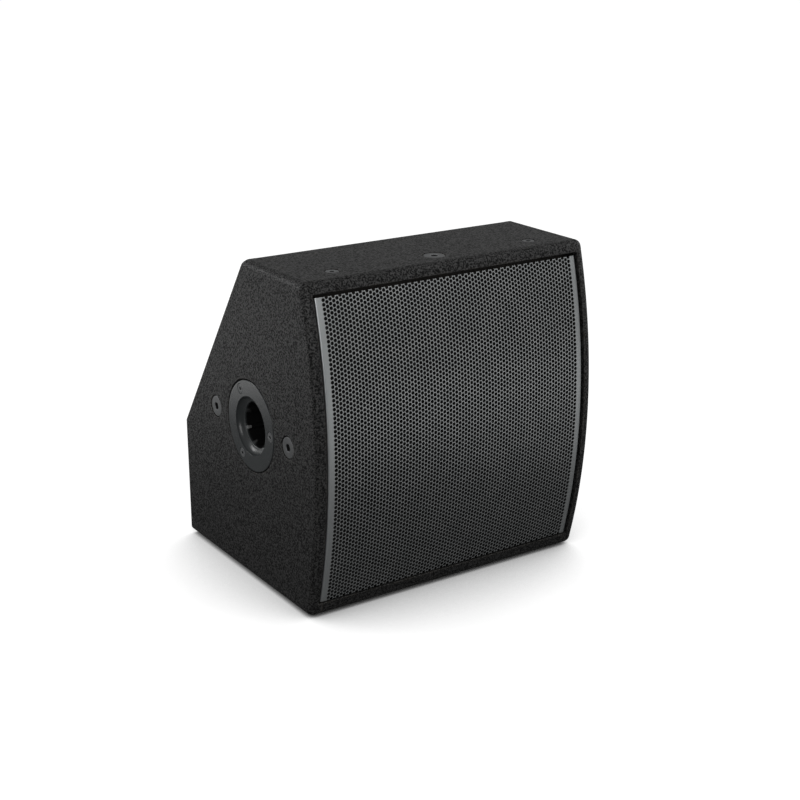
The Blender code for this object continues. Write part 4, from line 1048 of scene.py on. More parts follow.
def fastener(name, node, rotation, surface, look, flats, sink=HEAD_SINK):
    """A flush head with an eased rim, a chamfered hexagonal recess and a ringed shank."""
    radius, length, place = fastener_seat(node, rotation, surface, sink)
    head, shank, ease = HEAD_SHARE * radius, 0.52 * radius, 0.06 * radius
    profile = [(0.22 * flats, 1.05 * head), (hexagon(flats), 0.82 * head), (hexagon(flats), 0.14 * head),
               (hexagon(flats * 1.13), 0.0), (radius - 2.2 * ease, 0.0), (radius - 0.8 * ease, 0.25 * ease),
               (radius - 0.1 * ease, 1.0 * ease), (radius, 2.6 * ease), (radius, head), (shank, head)]
    turns = max(3, int((length - head) / THREAD_PITCH))
    pitch = (length - head - 2 * THREAD_END) / turns
    for i in range(turns):
        along = head + THREAD_END + pitch * i
        profile += [(shank, along), (shank * 0.90, along + 0.5 * pitch)]
    profile += [(shank, length - THREAD_END), (shank * 0.86, length - sink)]
    mesh = turned(name, profile, FASTENER_SEGMENTS, place, rotation, angle=math.radians(24))
    # The hexagonal recess takes the second material: painted shade in the recess.
    recess_faces = 2 * FASTENER_SEGMENTS
    for face in list(mesh.polygons)[:recess_faces] + [mesh.polygons[-2]]:
        face.material_index = 1
    even_normals(add_piece(name, mesh, look, node))


def fasteners():
    for end in ENDS:
        for side, rotation, surface in (("left", INTO_PLUS_X, -HALF_WIDTH),
                                        ("right", INTO_MINUS_X, HALF_WIDTH)):
            fastener(f"hex_plug_{side}_{end}", f"rigging_plug_{side}_{end}", rotation, surface, "zinc_plug",
                     PLUG_FLATS)
    fastener("hex_plug_top", "rigging_plug_top", DOWNWARD, TOP_Z, "zinc_plug", PLUG_FLATS)
    for side in SIDES:
        fastener("hex_screw_top_" + side, "top_screw_" + side, DOWNWARD, TOP_Z, "zinc_plug", TOP_SCREW_FLATS)
    for spot in SOCKET_SCREWS:
        fastener("hex_screw_socket_" + spot, "pole_socket_screw_" + spot, INTO_PLUS_X, -HALF_WIDTH,
                 "zinc_plug", SOCKET_SCREW_FLATS, 0.12 * MM)
    for spot in DISH_SCREWS:
        node = "dish_screw_" + spot
        fastener("hex_screw_dish_" + spot, node, INTO_MINUS_Y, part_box(node)[1].y, "black_screw",
                 DISH_SCREW_FLATS, 0.0)


# ---- Pole socket -------------------------------------------------------------------------------
SOCKET_SEGMENTS = 192
SOCKET_RIBS = 8
SOCKET_MOUTH = 26.0 * MM
SOCKET_THROAT = 21.0 * MM
SOCKET_BORE = 20.3 * MM
SOCKET_RIB = 17.8 * MM
SOCKET_FLANGE = 3.0 * MM
RIB_SLOPE = 3.4 * MM
RIB_STEPS = 6
BOWL_STEPS = 14


def ribbed(base, rib):
    """A bore's radius, stepped in at each rib with rounded flanks."""
    pitch = 2 * math.pi / SOCKET_RIBS
    half, flank = math.radians(4.2), math.radians(2.6)

    def radius(turn):
        offset = abs((turn + math.pi) % pitch - pitch / 2)
        share = min(1.0, max(0.0, (half + flank - offset) / flank))
        return base - (base - rib) * share * share * (3 - 2 * share)
    return radius


def socket_profile():
    shoulder, tube = SOCKET_MOUTH + 3.5 * MM, SOCKET_BORE + 3.5 * MM
    ease = 0.7 * MM
    profile = [(tube - 1.2 * MM, SOCKET_DEPTH), (tube, SOCKET_DEPTH - 1.2 * MM), (tube, 14 * MM),
               (shoulder, 7 * MM), (shoulder, SOCKET_FLANGE), (SOCKET_RADIUS - 0.4 * MM, SOCKET_FLANGE),
               (SOCKET_RADIUS, SOCKET_FLANGE - 0.4 * MM), (SOCKET_RADIUS, ease)]
    profile += [(SOCKET_RADIUS - ease * down, ease * out) for down, out in quarter(4)]
    profile += [(SOCKET_RADIUS - 1.6 * MM, 0), (SOCKET_MOUTH + 0.6 * MM, 0), (SOCKET_MOUTH + 0.1 * MM, 0),
                (SOCKET_MOUTH, 0.1 * MM)]
    first, last = math.radians(6), math.radians(74)
    reach = math.cos(first) - math.cos(last)
    drop = math.sin(last) - math.sin(first)
    for k in range(1, BOWL_STEPS + 1):
        turn = first + (last - first) * k / BOWL_STEPS
        shrink = (math.cos(first) - math.cos(turn)) / reach
        sink = (math.sin(turn) - math.sin(first)) / drop
        profile.append((SOCKET_MOUTH - (SOCKET_MOUTH - SOCKET_THROAT) * shrink,
                        0.1 * MM + (THROAT_DEPTH - 0.1 * MM) * sink))
    lip = SOCKET_THROAT - SOCKET_BORE
    profile += [(SOCKET_THROAT - lip * (1 - out), THROAT_DEPTH + lip * down) for down, out in quarter(4)]
    return profile


def pole_socket_mesh():
    rings = [circle(r, a, SOCKET_SEGMENTS) for r, a in socket_profile()]
    start = THROAT_DEPTH + SOCKET_THROAT - SOCKET_BORE + 0.1 * MM
    floor = SOCKET_DEPTH - 3 * MM
    for k in range(1, RIB_STEPS + 1):
        rib = SOCKET_BORE - (SOCKET_BORE - SOCKET_RIB) * k / RIB_STEPS
        rings.append(circle(ribbed(SOCKET_BORE, rib), start + RIB_SLOPE * k / RIB_STEPS, SOCKET_SEGMENTS))
    rings.append(circle(ribbed(SOCKET_BORE, SOCKET_RIB), floor - 0.8 * MM, SOCKET_SEGMENTS))
    rings.append(circle(ribbed(SOCKET_BORE - 0.8 * MM, SOCKET_RIB - 0.8 * MM), floor, SOCKET_SEGMENTS))
    mesh = ring_stack("pole_socket", rings)
    place = at(-HALF_WIDTH, SOCKET_Y, SOCKET_Z)
    mesh.transform(Matrix.Translation(place) @ INTO_PLUS_X.to_matrix().to_4x4())
    return mesh


def pole_socket():
    holes = []
    for spot in SOCKET_SCREWS:
        node = "pole_socket_screw_" + spot
        radius, _, place = fastener_seat(node, INTO_PLUS_X, -HALF_WIDTH)
        holes.append(flared_hole("hole_" + node, radius + 0.22 * MM, 0.36 * radius + 0.1 * MM, place,
                                 INTO_PLUS_X, 0.56 * radius, 0.15 * MM, 48))
    mesh = carve(pole_socket_mesh(), holes)
    even_normals(add_piece("moulded_pole_socket", mesh, "socket", "pole_socket"))


# ---- Feet --------------------------------------------------------------------------------------
OFF_THE_SLANT = Euler((-(math.pi / 2 - SLANT_ANGLE), 0, 0))
FOOT_RADIUS = 9 * MM
FOOT_HEIGHT = 2 * MM


def feet():
    dome = [(FOOT_RADIUS - 0.3 * MM, 0.0), (FOOT_RADIUS, 0.3 * MM)]
    dome += [(FOOT_RADIUS - MM * down, (1.95 - out) * MM) for down, out in quarter(5)]
    dome += [(FOOT_RADIUS * 0.62, FOOT_HEIGHT - 0.05 * MM), (FOOT_RADIUS * 0.55, FOOT_HEIGHT - 0.30 * MM),
             (FOOT_RADIUS * 0.42, FOOT_HEIGHT - 0.30 * MM), (FOOT_RADIUS * 0.34, FOOT_HEIGHT - 0.05 * MM)]
    for side in SIDES:
        for face, rotation, ends in (("base", DOWNWARD, ("front", "rear")),
                                     ("slant", OFF_THE_SLANT, ("upper", "lower"))):
            for end in ends:
                node = f"{face}_foot_{side}_{end}"
                direction = rotation.to_matrix() @ Vector((0, 0, 1))
                place = box_middle(node) - direction * FOOT_HEIGHT * 0.575
                mesh = turned("rubber_" + node, dome, 72, place, rotation)
                even_normals(add_piece("rubber_" + node, mesh, "rubber", node))


# ---- Handle ------------------------------------------------------------------------------------
def handle():
    """The cup behind the handle slot, moulded with a rounded floor and a rolled rim."""
    low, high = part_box("handle_cup")
    rim, lip, wall = high.x, 2.0 * MM, 2.6 * MM
    floor_x = low.x + wall
    inside = [(rim, lip + 0.6 * MM), (rim - 0.6 * MM, lip), (floor_x, lip - 0.4 * MM), (floor_x, -13 * MM)]
    outside = [(low.x, -13 * MM), (low.x, lip + wall), (rim - wall, lip + wall), (rim - wall, 10 * MM),
               (rim, 10 * MM)]
    profile = [outside[0]] + rounded(outside, 3.0 * MM, 4)[1:-1] + [outside[-1]]
    profile += rounded([outside[-1]] + inside, 6.0 * MM, 6)[1:-1]
    profile.append(inside[-1])
    mesh = ring_stack("handle_cup", handle_rings(profile))
    even_normals(add_piece("moulded_handle_cup", mesh, "plastic", "handle_cup"))


# ---- Connector dish ----------------------------------------------------------------------------
def connector_dish():
    back = DISH_FACE - DISH_FLANGE
    outer = [(DISH_RIM, dish_low.y), (DISH_RIM, back), (0.3 * MM, back), (0.0, back + 0.3 * MM),
             (0.0, DISH_FACE - 0.5 * MM), (0.25 * MM, DISH_FACE - 0.1 * MM), (0.7 * MM, DISH_FACE)]
    lip = DISH_RIM + DISH_WALL
    inner = [(lip - 2.0 * MM, DISH_FACE), (lip, DISH_FACE), (lip + 1.2 * MM, DISH_FLOOR),
             (lip + 14 * MM, DISH_FLOOR)]
    profile = outer + [inner[0]] + rounded(inner, 2.2 * MM, 5)[1:]
    mesh = ring_stack("connector_dish", dish_rings(profile, 7 * MM))
    tools = [round_tool("hole_" + node, node, 12.3 * MM)
             for node in SPEAKER_SOCKETS]
    tools.append(round_tool("hole_knob_shaft", "mode_knob", SHAFT_HOLE))
    tools += [round_tool("hole_flange_" + name, "dish_screw_" + name, SCREW_HOLE) for name in DISH_SCREWS]
    mesh = carve(mesh, tools)
    even_normals(add_piece("moulded_connector_dish", mesh, "plastic", "connector_dish"))
    for node in SPEAKER_SOCKETS:
        speaker_socket(node)
    mode_switch()


def eased_square(half, corner):
    def radius(turn):
        from_side = (turn + math.pi / 4) % (math.pi / 2) - math.pi / 4
        return min(half / math.cos(from_side), half * corner)
    return radius


def keyed(radius, depth):
    """A round mouth with four keyways, the upper one wider."""
    def at_turn(turn):
        for centre, half in ((math.pi / 2, 0.30), (math.pi, 0.14), (3 * math.pi / 2, 0.20), (0.0, 0.14)):
            offset = abs((turn - centre + math.pi) % (2 * math.pi) - math.pi)
            if offset < half:
                return radius + depth
        return radius
    return at_turn


def speaker_socket(node):
    """A round four-pole socket: flange, keyed mouth, contact post and a release latch."""
    half, back, face = span(node)
    place, depth = box_middle(node), face - back
    place.y = face
    flange = eased_square(half, 1.27)
    slim = eased_square(half - 0.5 * MM, 1.27)
    barrel, mouth, post = 12.0 * MM, 9.4 * MM, 4.6 * MM
    profile = [(barrel - 1 * MM, depth), (barrel, depth - 1 * MM), (barrel, 2.0 * MM), (flange, 2.0 * MM),
               (flange, 0.5 * MM), (slim, 0.0), (mouth + 1.9 * MM, 0.0), (mouth + 1.5 * MM, -0.6 * MM),
               (mouth + 0.8 * MM, -0.6 * MM), (keyed(mouth + 0.2 * MM, 1.1 * MM), 0.0),
               (keyed(mouth, 1.1 * MM), 0.4 * MM), (keyed(mouth, 1.1 * MM), 17 * MM),
               (post + 0.3 * MM, 17 * MM), (post, 16 * MM), (post, 3.6 * MM),
               (post - 0.5 * MM, 2.8 * MM), (post - 1.6 * MM, 2.6 * MM)]
    mesh = turned(node, profile, 120, place, INTO_MINUS_Y, angle=math.radians(28))
    add_piece("keyed_" + node, mesh, "plastic", node)
    strips = bmesh.new()
    for i in range(4):
        turn = math.pi / 2 * i + math.pi / 4
        strip = rounded_bar(1.6 * MM, 9.0 * MM, 0.5 * MM)
        arm = Vector((post * math.cos(turn), -8.5 * MM, post * math.sin(turn)))
        strips.from_mesh(put(strip, place + arm, (-turn, "Y"), (math.pi / 2, "Z")))
    contacts = mesh_of("contacts_" + node, strips)
    add_piece("contacts_" + node, contacts, "plated")
    screws = bmesh.new()
    for sx, sz in ((-1, 1), (1, -1)):
        reach = half * 0.76
        spot = place + Vector((sx * reach, 0.05 * MM, sz * reach))
        profile = [(0.4 * MM, 0.45 * MM), (hexagon(1.4 * MM), 0.4 * MM), (hexagon(1.5 * MM), -0.35 * MM),
                   (1.5 * MM, -0.35 * MM), (1.85 * MM, -0.1 * MM), (1.9 * MM, 0.4 * MM),
                   (0.9 * MM, 0.5 * MM), (0.9 * MM, 5 * MM)]
        screws.from_mesh(turned("socket_screw", profile, 48, spot, INTO_MINUS_Y))
    heads = mesh_of("screws_" + node, screws)
    add_piece("screws_" + node, heads, "black_steel")
    latch = put(rounded_bar(6.0 * MM, 3.0 * MM, 1.4 * MM), place + Vector((0, 0.7 * MM, half - 2.4 * MM)),
                UPRIGHT)
    add_piece("latch_" + node, latch, "zinc")


def rounded_bar(width, length, thickness, ease=0.3):
    """A small bar with eased edges, centred at the origin, flat in XY."""
    bm = bmesh.new()
    bmesh.ops.create_cube(bm, size=1.0, matrix=Matrix.Diagonal((width, length, thickness, 1)))
    bmesh.ops.bevel(bm, geom=bm.edges[:], offset=ease * min(width, length, thickness), segments=3,
                    profile=0.5, affect="EDGES")
    return mesh_of("rounded_bar", bm)


def standing_block(node, ease):
    """An eased block that fills a node's box, its thickness along Y."""
    low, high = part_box(node)
    size = high - low
    return put(rounded_bar(size.x, size.z, size.y, ease), (low + high) / 2, UPRIGHT)


def fluted(radius, count=12, depth=0.055):
    def at_turn(turn):
        return radius * (1 - depth * max(0.0, math.cos(count * turn)) ** 0.7)
    return at_turn


def mode_switch():
    radius, back, face = span("mode_knob")
    place = box_middle("mode_knob")
    place.y = DISH_FLOOR
    start, top, shaft = back - DISH_FLOOR, face - DISH_FLOOR, 3.0 * MM
    profile = [(shaft - 0.4 * MM, start), (shaft, start + 0.4 * MM), (shaft, 0.6 * MM),
               (radius - 0.4 * MM, 0.6 * MM), (radius, 1.0 * MM), (radius, 2.4 * MM),
               (radius - 0.5 * MM, 3.2 * MM), (fluted(radius * 0.87), 4.0 * MM),
               (fluted(radius * 0.84), top - 1.4 * MM), (fluted(radius * 0.80, depth=0.03), top - 0.6 * MM),
               (radius * 0.74, top - 0.1 * MM), (radius * 0.68, top), (radius * 0.55, top),
               (radius * 0.50, top - 0.35 * MM)]
    mesh = turned("mode_knob", profile, 144, place, INTO_PLUS_Y, angle=math.radians(30))
    add_piece("fluted_mode_knob", mesh, "plastic", "mode_knob", "mode_selector")
    pointer = put(rounded_bar(1.1 * MM, radius * 0.62, 0.5 * MM),
                  place + Vector((0, top - 0.02 * MM, radius * 0.42)), UPRIGHT)
    add_piece("mode_knob_pointer", pointer, "marking", body="mode_selector")
    ticks = bmesh.new()
    for i in range(3):
        turn = math.pi / 2 - math.pi / 4 * i
        length = (2.2 if i == 1 else 3.6) * MM
        tick = rounded_bar(0.8 * MM, length, 0.4 * MM)
        arm = Vector((math.cos(turn), 0, math.sin(turn))) * (radius + 1.2 * MM + length / 2)
        ticks.from_mesh(put(tick, place + arm, (math.pi / 2 - turn, "Y"), UPRIGHT))
    marks = mesh_of("mode_switch_marks", ticks)
    add_piece("mode_switch_marks", marks, "marking")
    shaft_hole = turned("hole_shaft", [(SHAFT_HOLE, 0), (SHAFT_HOLE, 9 * MM)], 48, place, INTO_MINUS_Y)
    body = carve(standing_block("mode_switch_body", 0.08), [shaft_hole])
    add_piece("moulded_mode_switch_body", body, "plastic", "mode_switch_body")


# ---- Driver and horn ---------------------------------------------------------------------------
TURNS = 160
THROAT_RADIUS = 12.5 * MM
HORN_FLARE = 1.55
BASKET_WINDOWS = 6
WINDOW_REACH = 77 * MM
COIL_TURNS = 16


def driver_place():
    place = box_middle("lf_magnet")
    place.y = 0
    return place


def skin(points, thickness):
    return list(points) + [(r, a + thickness) for r, a in reversed(points)]


def driver_piece(name, node, profile, look, body="cabinet", closed=True):
    mesh = turned(name, profile, TURNS, driver_place(), INTO_PLUS_Y, closed)
    add_piece(name, mesh, look, node, body)


def plate_ring(node, inner, ease):
    radius, front, back = span(node)
    profile = [(inner, front), (radius, front), (radius, back), (inner, back)]
    return rounded(profile, ease, 3, closed=True)


def cone_skin():
    radius, front, back = span("lf_cone")
    neck, thickness, steps = 26.2 * MM, 1.5 * MM, 40
    reach = back - thickness - front
    points = []
    for i in range(steps + 1):
        share = i / steps
        ripple = 0.18 * MM * math.sin(2 * math.pi * 5 * share) if 0.25 < share < 0.9 else 0.0
        bow = 2.0 * MM * math.sin(math.pi * share) + ripple
        points.append((neck + (radius - neck) * share, front + reach * (1 - share) + bow))
    points[-1] = (radius, front)
    return skin(points, thickness)


def surround_skin():
    radius, _, back = span("lf_surround")
    inner, roll, thickness = 79.8 * MM, 4.0 * MM, 0.8 * MM
    level = back - thickness
    points = [(inner, level), (inner + 0.2 * MM, level)]
    for i in range(1, 24):
        turn = math.pi * (1 - i / 24)
        points.append((inner + roll + roll * math.cos(turn), level - roll * math.sin(turn)))
    points += [(inner + 2 * roll, level), (radius, level)]
    return skin(points, thickness)


def spider_skin():
    radius, front, back = span("lf_spider")
    inner, waves, thickness = 26.7 * MM, 6, 0.5 * MM
    middle = (front + back) / 2 - thickness / 2
    depth = (back - front) / 2 - thickness / 2
    steps = waves * 12
    points = []
    for i in range(steps + 1):
        share = i / steps
        swing = depth * math.sin(2 * math.pi * waves * share)
        points.append((inner + (radius - inner) * share, middle + swing))
    return skin(points, thickness)


def bend_between(piece):
    """Bakes the annular part's placement into its mesh."""
    place = driver_place()
    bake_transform(piece)


def annular_piece(name, node, profile, look):
    mesh = turned(name, profile, TURNS, driver_place(), INTO_PLUS_Y, True)
    bend_between(add_piece(name, mesh, look, node, body=None))


def basket_mesh():
    radius, front, back = span("lf_basket")
    deep = back - 3.9 * MM
    outline = [(radius, front), (radius, front + 4 * MM), (91 * MM, front + 4 * MM),
               (91 * MM, front + 15.3 * MM), (64 * MM, deep), (64 * MM, back), (40 * MM, back),
               (40 * MM, back - 3.2 * MM), (59.5 * MM, back - 3.2 * MM), (60.5 * MM, back - 5.0 * MM),
               (87 * MM, front + 14.3 * MM), (87 * MM, front)]
    profile = rounded(outline, 1.2 * MM, 3, closed=True)
    mesh = turned("cast_basket", profile, TURNS, driver_place(), INTO_PLUS_Y, True)
    tools = []
    for i in range(BASKET_WINDOWS):
        turn = 2 * math.pi * (i + 0.5) / BASKET_WINDOWS
        hole = rounded_bar(42 * MM, 44 * MM, 30 * MM, 0.24)
        place = driver_place() + Vector((math.cos(turn), 0, math.sin(turn))) * WINDOW_REACH
        place.y = front + 35.5 * MM
        put(hole, place, (-turn, "Y"), UPRIGHT, UPRIGHT)
        hole.name = f"basket_window_{i}"
        tools.append(hole)
    return carve(mesh, tools)


def driver():
    radius, front, back = span("lf_gasket")
    gasket = rounded([(92 * MM, front), (radius, front), (radius, back), (92 * MM, back)], 0.5 * MM, 2, True)
    driver_piece("driver_gasket", "lf_gasket", gasket, "cloth")
    mesh = basket_mesh()
    add_piece("cast_driver_basket", mesh, "casting", "lf_basket")
    driver_piece("pulp_cone", "lf_cone", cone_skin(), "paper", "cone_assembly")
    annular_piece("roll_surround", "lf_surround", surround_skin(), "cloth")
    annular_piece("corrugated_spider", "lf_spider", spider_skin(), "amber_cloth")
    radius, front, back = span("lf_voice_coil")
    coil = [(25.2 * MM, front), (25.8 * MM, front)]
    wound = front + 13.8 * MM
    pitch = (back - 2 * MM - wound) / COIL_TURNS
    for i in range(COIL_TURNS):
        coil += [(25.9 * MM, wound + pitch * i), (radius - 0.15 * MM, wound + pitch * (i + 0.2)),
                 (radius, wound + pitch * (i + 0.5)), (radius - 0.15 * MM, wound + pitch * (i + 0.8))]
    coil += [(25.8 * MM, back - 2 * MM), (25.8 * MM, back), (25.2 * MM, back)]
    driver_piece("wound_voice_coil", "lf_voice_coil", coil, "copper", "cone_assembly")
    driver_piece("ground_top_plate", "lf_top_plate", plate_ring("lf_top_plate", 27.5 * MM, 0.8 * MM),
                 "plated")
    driver_piece("ring_magnet", "lf_magnet", plate_ring("lf_magnet", 32 * MM, 1.4 * MM), "ferrite")
    radius, front, back = span("lf_back_plate")
    yoke = [(THROAT_RADIUS, front), (24.6 * MM, front), (24.6 * MM, back - 8 * MM), (radius, back - 8 * MM),
            (radius, back), (THROAT_RADIUS, back)]
    driver_piece("machined_back_plate", "lf_back_plate", rounded(yoke, 0.9 * MM, 3, True), "plated")
    horn_and_dome()


def horn_and_dome():
    radius, front, back = span("hf_horn")
    mouth, wall, steps = radius - 2.5 * MM, 2.4 * MM, 28
    points = []
    for i in range(steps + 1):
        share = i / steps
        flare = THROAT_RADIUS + (mouth - THROAT_RADIUS) * share ** HORN_FLARE
        points.append((flare, back - (back - front) * share))
    outside = [(r + wall, a + 0.6 * MM) for r, a in reversed(points[:-1])]
    rim = [(mouth + 1.4 * MM, front), (radius, front + 0.6 * MM), (radius, front + 1.4 * MM)]
    neck = [(r, min(a, back)) for r, a in outside]
    driver_piece("flared_horn", "hf_horn", points + rim + neck, "plastic")
    radius, front, back = span("hf_housing")
    housing = [(THROAT_RADIUS, front), (radius, front), (radius, back), (24 * MM, back),
               (24 * MM, front + 7.4 * MM), (THROAT_RADIUS, front + 5.4 * MM)]
    driver_piece("tweeter_housing", "hf_housing", rounded(housing, 1.2 * MM, 3, True), "ferrite")
    radius, front, back = span("hf_diaphragm")
    rim, thin = back - 0.5 * MM, 0.5 * MM
    dome_radius, rise = radius - 3 * MM, rim - front
    dome = [(radius, rim), (radius - 0.8 * MM, rim - 0.25 * MM), (radius - 1.5 * MM, rim - 0.55 * MM),
            (radius - 2.3 * MM, rim - 0.25 * MM), (dome_radius, rim)]
    for i in range(1, 24):
        turn = math.pi / 2 * i / 24
        dome.append((dome_radius * math.cos(turn), rim - rise * math.sin(turn)))
    back_skin = [(r, a + thin) for r, a in reversed(dome)]
    driver_piece("formed_dome", "hf_diaphragm", back_skin + dome, "dome", "dome", closed=False)
    radius, front, back = span("hf_rear_cap")
    cap = [(radius, front), (radius, back - 3 * MM), (radius - 3 * MM, back), (radius * 0.5, back),
           (radius * 0.46, back - 0.8 * MM), (radius * 0.2, back - 0.8 * MM)]
    profile = [cap[0]] + rounded(cap, 1.2 * MM, 3)[1:]
    driver_piece("tweeter_rear_cap", "hf_rear_cap", profile, "plastic", closed=False)


# ---- Inside the box ----------------------------------------------------------------------------
DRIVER_HOLE = 92 * MM
PORT_HOLE = 22.3 * MM
PORT_FLARE = 3.0 * MM
PAD_THICKNESS = 12 * MM
PAD_ACROSS = 72
PAD_STEPS = 48


def baffle():
    board = standing_block("baffle", 0.04)
    holes = [("baffle_driver_hole", DRIVER_HOLE, driver_place())]
    holes += [("baffle_port_hole_" + side, PORT_HOLE, box_middle("port_tube_" + side)) for side in SIDES]
    tools = []
    for name, radius, place in holes:
        place.y = baffle_low.y - PANEL
        tools.append(turned(name, [(radius, 0), (radius, 3 * PANEL)], 128, place, INTO_PLUS_Y))
    mesh = carve(board, tools)
    even_normals(add_piece("painted_baffle", mesh, "stained", "baffle"))


def ports():
    for side in SIDES:
        node = "port_tube_" + side
        flange, front, back = span(node)
        bore, outer = flange - 4.5 * MM, flange - 2.5 * MM
        profile = [(flange - 0.5 * MM, front + 0.1 * MM), (flange, front + 0.6 * MM),
                   (flange, front + 2.2 * MM), (outer, front + 2.2 * MM), (outer, back - 0.5 * MM),
                   (outer - 0.5 * MM, back), (bore + 0.6 * MM, back), (bore, back - 0.6 * MM),
                   (bore, front + PORT_FLARE)]
        profile += [(bore + PORT_FLARE * down, front + PORT_FLARE * out) for down, out in quarter(6)]
        place = box_middle(node)
        place.y = 0
        mesh = turned("flared_" + node, profile, 96, place, INTO_PLUS_Y, True)
        add_piece("flared_" + node, mesh, "plastic", node)


def crossover():
    low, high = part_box("crossover_board")
    board = put(rounded_bar(*(high - low), 0.15), (low + high) / 2)
    add_piece("etched_crossover_board", board, "board", "crossover_board")
    low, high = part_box("crossover_inductor")
    middle, radius, rise = (low + high) / 2, (high.x - low.x) / 2, high.z - low.z
    profile = [(8 * MM, 0), (radius - 0.6 * MM, 0)]
    layers = 12
    for i in range(layers):
        along = 0.3 * MM + (rise - 0.6 * MM) * i / layers
        step = (rise - 0.6 * MM) / layers
        profile += [(radius - 0.35 * MM, along), (radius, along + 0.3 * step), (radius, along + 0.7 * step)]
    profile += [(radius - 0.6 * MM, rise), (8 * MM, rise)]
    mesh = turned("wound_inductor", profile, 96, Vector((middle.x, middle.y, low.z)), UPWARD, True)
    add_piece("wound_inductor", mesh, "copper", "crossover_inductor")
    low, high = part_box("crossover_capacitor")
    middle, radius, length = (low + high) / 2, (high.z - low.z) / 2, high.x - low.x
    can = [(radius * 0.62, 0.5 * MM), (radius * 0.82, 0.2 * MM), (radius * 0.90, 0), (radius, 1.0 * MM),
           (radius, 2.2 * MM), (radius * 0.93, 3.0 * MM), (radius, 3.8 * MM), (radius, length - 1 * MM),
           (radius * 0.9, length), (radius * 0.5, length - 0.4 * MM)]
    mesh = turned("sleeved_capacitor", can, 96, Vector((low.x, middle.y, middle.z)), INTO_PLUS_X)
    add_piece("sleeved_capacitor", mesh, "sleeve", "crossover_capacitor")


def damping_pad():
    """Tufted wadding on the slanted rear panel, lofted inside the space of its CAD solid."""
    low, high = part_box("damping_pad")
    along = Vector((0, -math.sin(SLANT_ANGLE), math.cos(SLANT_ANGLE)))
    outward = Vector((0, -math.cos(SLANT_ANGLE), -math.sin(SLANT_ANGLE)))
    start = Vector((0, high.y, low.z)) + outward * 0.3 * MM
    length = (high.z - low.z) / math.cos(SLANT_ANGLE)
    bm = bmesh.new()
    grids = []
    for face in (0, 1):
        grid = []
        for j in range(PAD_STEPS + 1):
            row = []
            for i in range(PAD_ACROSS + 1):
                u, v = 2 * i / PAD_ACROSS - 1, 2 * j / PAD_STEPS - 1
                loft = (1 - abs(u) ** 6) ** 0.5 * (1 - abs(v) ** 6) ** 0.5
                stitches = abs(math.sin(2 * math.pi * (u + 1)) * math.sin(1.5 * math.pi * (v + 1)))
                puff = 0.06 + 0.88 * loft * (0.5 + 0.5 * stitches ** 0.35)
                lift = PAD_THICKNESS * (puff if face else 0.02)
                x = low.x + (high.x - low.x) * i / PAD_ACROSS
                spot = start + Vector((x, 0, 0)) + along * length * j / PAD_STEPS
                row.append(bm.verts.new(spot + outward * lift))
            grid.append(row)
        grids.append(grid)
    for grid in grids:
        fill_grid(bm, grid)
    close_border(bm, *grids)
    mesh = mesh_of("tufted_damping_pad", bm, math.radians(60))
    add_piece("tufted_damping_pad", mesh, "wadding", "damping_pad")


def finish_cad_nodes():
    """The cables keep their CAD shape and get their sleeve material."""
    sleeve = LOOKS["cable"][1][0]
    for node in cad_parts.values():
        if not node.hide_render:
            for slot in node.material_slots:
                slot.material = sleeve


# ---- The stage ---------------------------------------------------------------------------------
CAMERA_YAW = math.radians(33.73)
CAMERA_PITCH = math.radians(18.72)
CAMERA_PLACE = (-0.7024, -1.0763, 0.5745)
CAMERA_LENS = 67.69
SENSOR_WIDTH = 36.0
CARD_LIFT = 6 * MM
FRONT_AHEAD = (0.52, -0.854, 0)
SIDE_AHEAD = (-0.576, 0.817, 0)
CONTACT_REACH = 0.18
CONTACT_SHADE = 0.01
OPEN_SHADE = 0.90
CONTACT_START = 0.22
CONTACT_END = 0.75
FLOOR_REACH = 40.0
DULL_FLOOR = 0.20
SEEN_FLOOR = 0.25
SKY_HORIZON = 0.05
LIGHT_TARGET = (0, 0, 0.14)


def floor():
    """White to the camera by its own glow, with a painted contact shadow where the cabinet closes over it,
    and dull to other rays.
    """
    mesh = bpy.data.meshes.new("floor")
    corners = [(x * FLOOR_REACH, y * FLOOR_REACH, 0) for x, y in ((-1, -1), (1, -1), (1, 1), (-1, 1))]
    mesh.from_pydata(corners, [], [(0, 1, 2, 3)])
    piece = new_object("floor", mesh)
    s = Surface("studio_floor")
    seen = s.add("ShaderNodeLightPath").outputs["Is Camera Ray"]
    nearby = s.add("ShaderNodeAmbientOcclusion", samples=16)
    nearby.inputs["Distance"].default_value = CONTACT_REACH
    # Painted contact shadow: the glow fades where ambient occlusion finds the cabinet close by.
    glow_with_painted_shadow = s.spread(nearby.outputs["AO"], CONTACT_SHADE, OPEN_SHADE, CONTACT_START, CONTACT_END)
    s.link(s.math("MULTIPLY", glow_with_painted_shadow, seen), s.shader.inputs["Emission Strength"])
    s.shader.inputs["Emission Color"].default_value = (1, 1, 1, 1)
    mesh.materials.append(s.finish(s.mix(seen, grey(DULL_FLOOR), grey(SEEN_FLOOR)), 1.0, specular=0.0))


def area_light(name, place, size, power):
    """A rectangle of light aimed at the cabinet, not itself seen by the camera."""
    light = bpy.data.lights.new(name, "AREA")
    light.shape = "RECTANGLE"
    light.size, light.size_y = size
    light.energy = power
    holder = new_object(name, light)
    holder.location = place
    holder.rotation_euler = (Vector(LIGHT_TARGET) - Vector(place)).to_track_quat("-Z", "Y").to_euler()
    holder.visible_camera = False
    return holder


def floor_card(name, base, ahead, near, far, width, power):
    """A bright card lying on the floor beside a face, seen only as a sheen in that face."""
    ahead = Vector(ahead)
    place = Vector(base) + ahead * (near + far) / 2
    card = area_light(name, place, (width, far - near), power)
    card.rotation_euler = (math.pi, 0, math.atan2(ahead.y, ahead.x) + math.pi / 2)


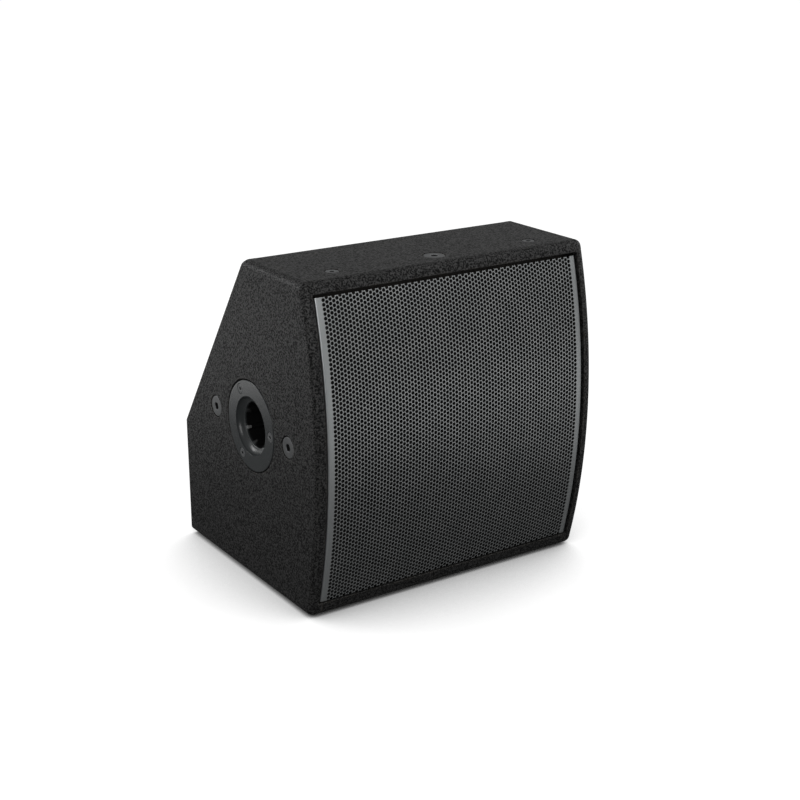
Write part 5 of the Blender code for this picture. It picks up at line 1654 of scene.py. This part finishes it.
def sky(base, zenith):
    """A soft dome, brighter overhead, that the camera sees as plain white."""
    world = bpy.data.worlds.new("studio")
    bpy.context.scene.world = world
    world.use_nodes = True
    g = Graph(world.node_tree)
    background = g.tree.nodes["Background"]
    background.inputs["Color"].default_value = (1, 1, 1, 1)
    split = g.add("ShaderNodeSeparateXYZ")
    g.link(g.add("ShaderNodeTexCoord").outputs["Generated"], split.inputs["Vector"])
    rise = g.spread(split.outputs["Z"], base, zenith, SKY_HORIZON, 1.0, interpolation_type="SMOOTHSTEP")
    seen = g.add("ShaderNodeLightPath").outputs["Is Camera Ray"]
    g.link(g.math("MAXIMUM", rise, seen), background.inputs["Strength"])


def cards():
    """The pale floor's reflection: cards before the grille and beside the left panel."""
    front = (0, grille_low.y, CARD_LIFT)
    floor_card("front_near_card", front, FRONT_AHEAD, 0.22, 0.55, 0.6, 0.13)
    floor_card("front_far_card", front, FRONT_AHEAD, 0.55, 1.2, 0.9, 1.6)
    side = (side_low.x, -20 * MM, CARD_LIFT)
    floor_card("side_card", side, SIDE_AHEAD, 0.50, 1.0, 0.8, 1.5)


def stage():
    floor()
    sky(0.41, 0.45)
    area_light("left_rear_softbox", (-1.3, 1.3, 0.9), (0.7, 0.9), 11.0)
    area_light("left_rear_low_softbox", (-0.9, 2.0, 0.30), (1.0, 0.5), 1.1)
    area_light("front_left_softbox", (-1.4, -1.4, 0.8), (1.0, 1.0), 11.0)
    area_light("front_softbox", (0.4, -1.9, 0.4), (1.4, 0.7), 0.6)
    area_light("right_softbox", (1.9, -0.3, 0.8), (1.0, 1.2), 9.0)
    area_light("front_high_softbox", (0.3, -1.8, 1.6), (1.0, 1.0), 7.0)
    cards()
    camera = new_object("camera", bpy.data.cameras.new("camera"))
    camera.data.lens = CAMERA_LENS
    camera.data.sensor_width = SENSOR_WIDTH
    camera.location = CAMERA_PLACE
    camera.rotation_euler = (math.pi / 2 - CAMERA_PITCH, 0, -CAMERA_YAW)
    bpy.context.scene.camera = camera
    bpy.context.scene.view_settings.view_transform = "Standard"


# ---- Everything together -----------------------------------------------------------------------
def build():
    cabinet()
    grille()
    fasteners()
    pole_socket()
    feet()
    handle()
    connector_dish()
    driver()
    baffle()
    ports()
    crossover()
    damping_pad()
    finish_cad_nodes()
    stage()


build()
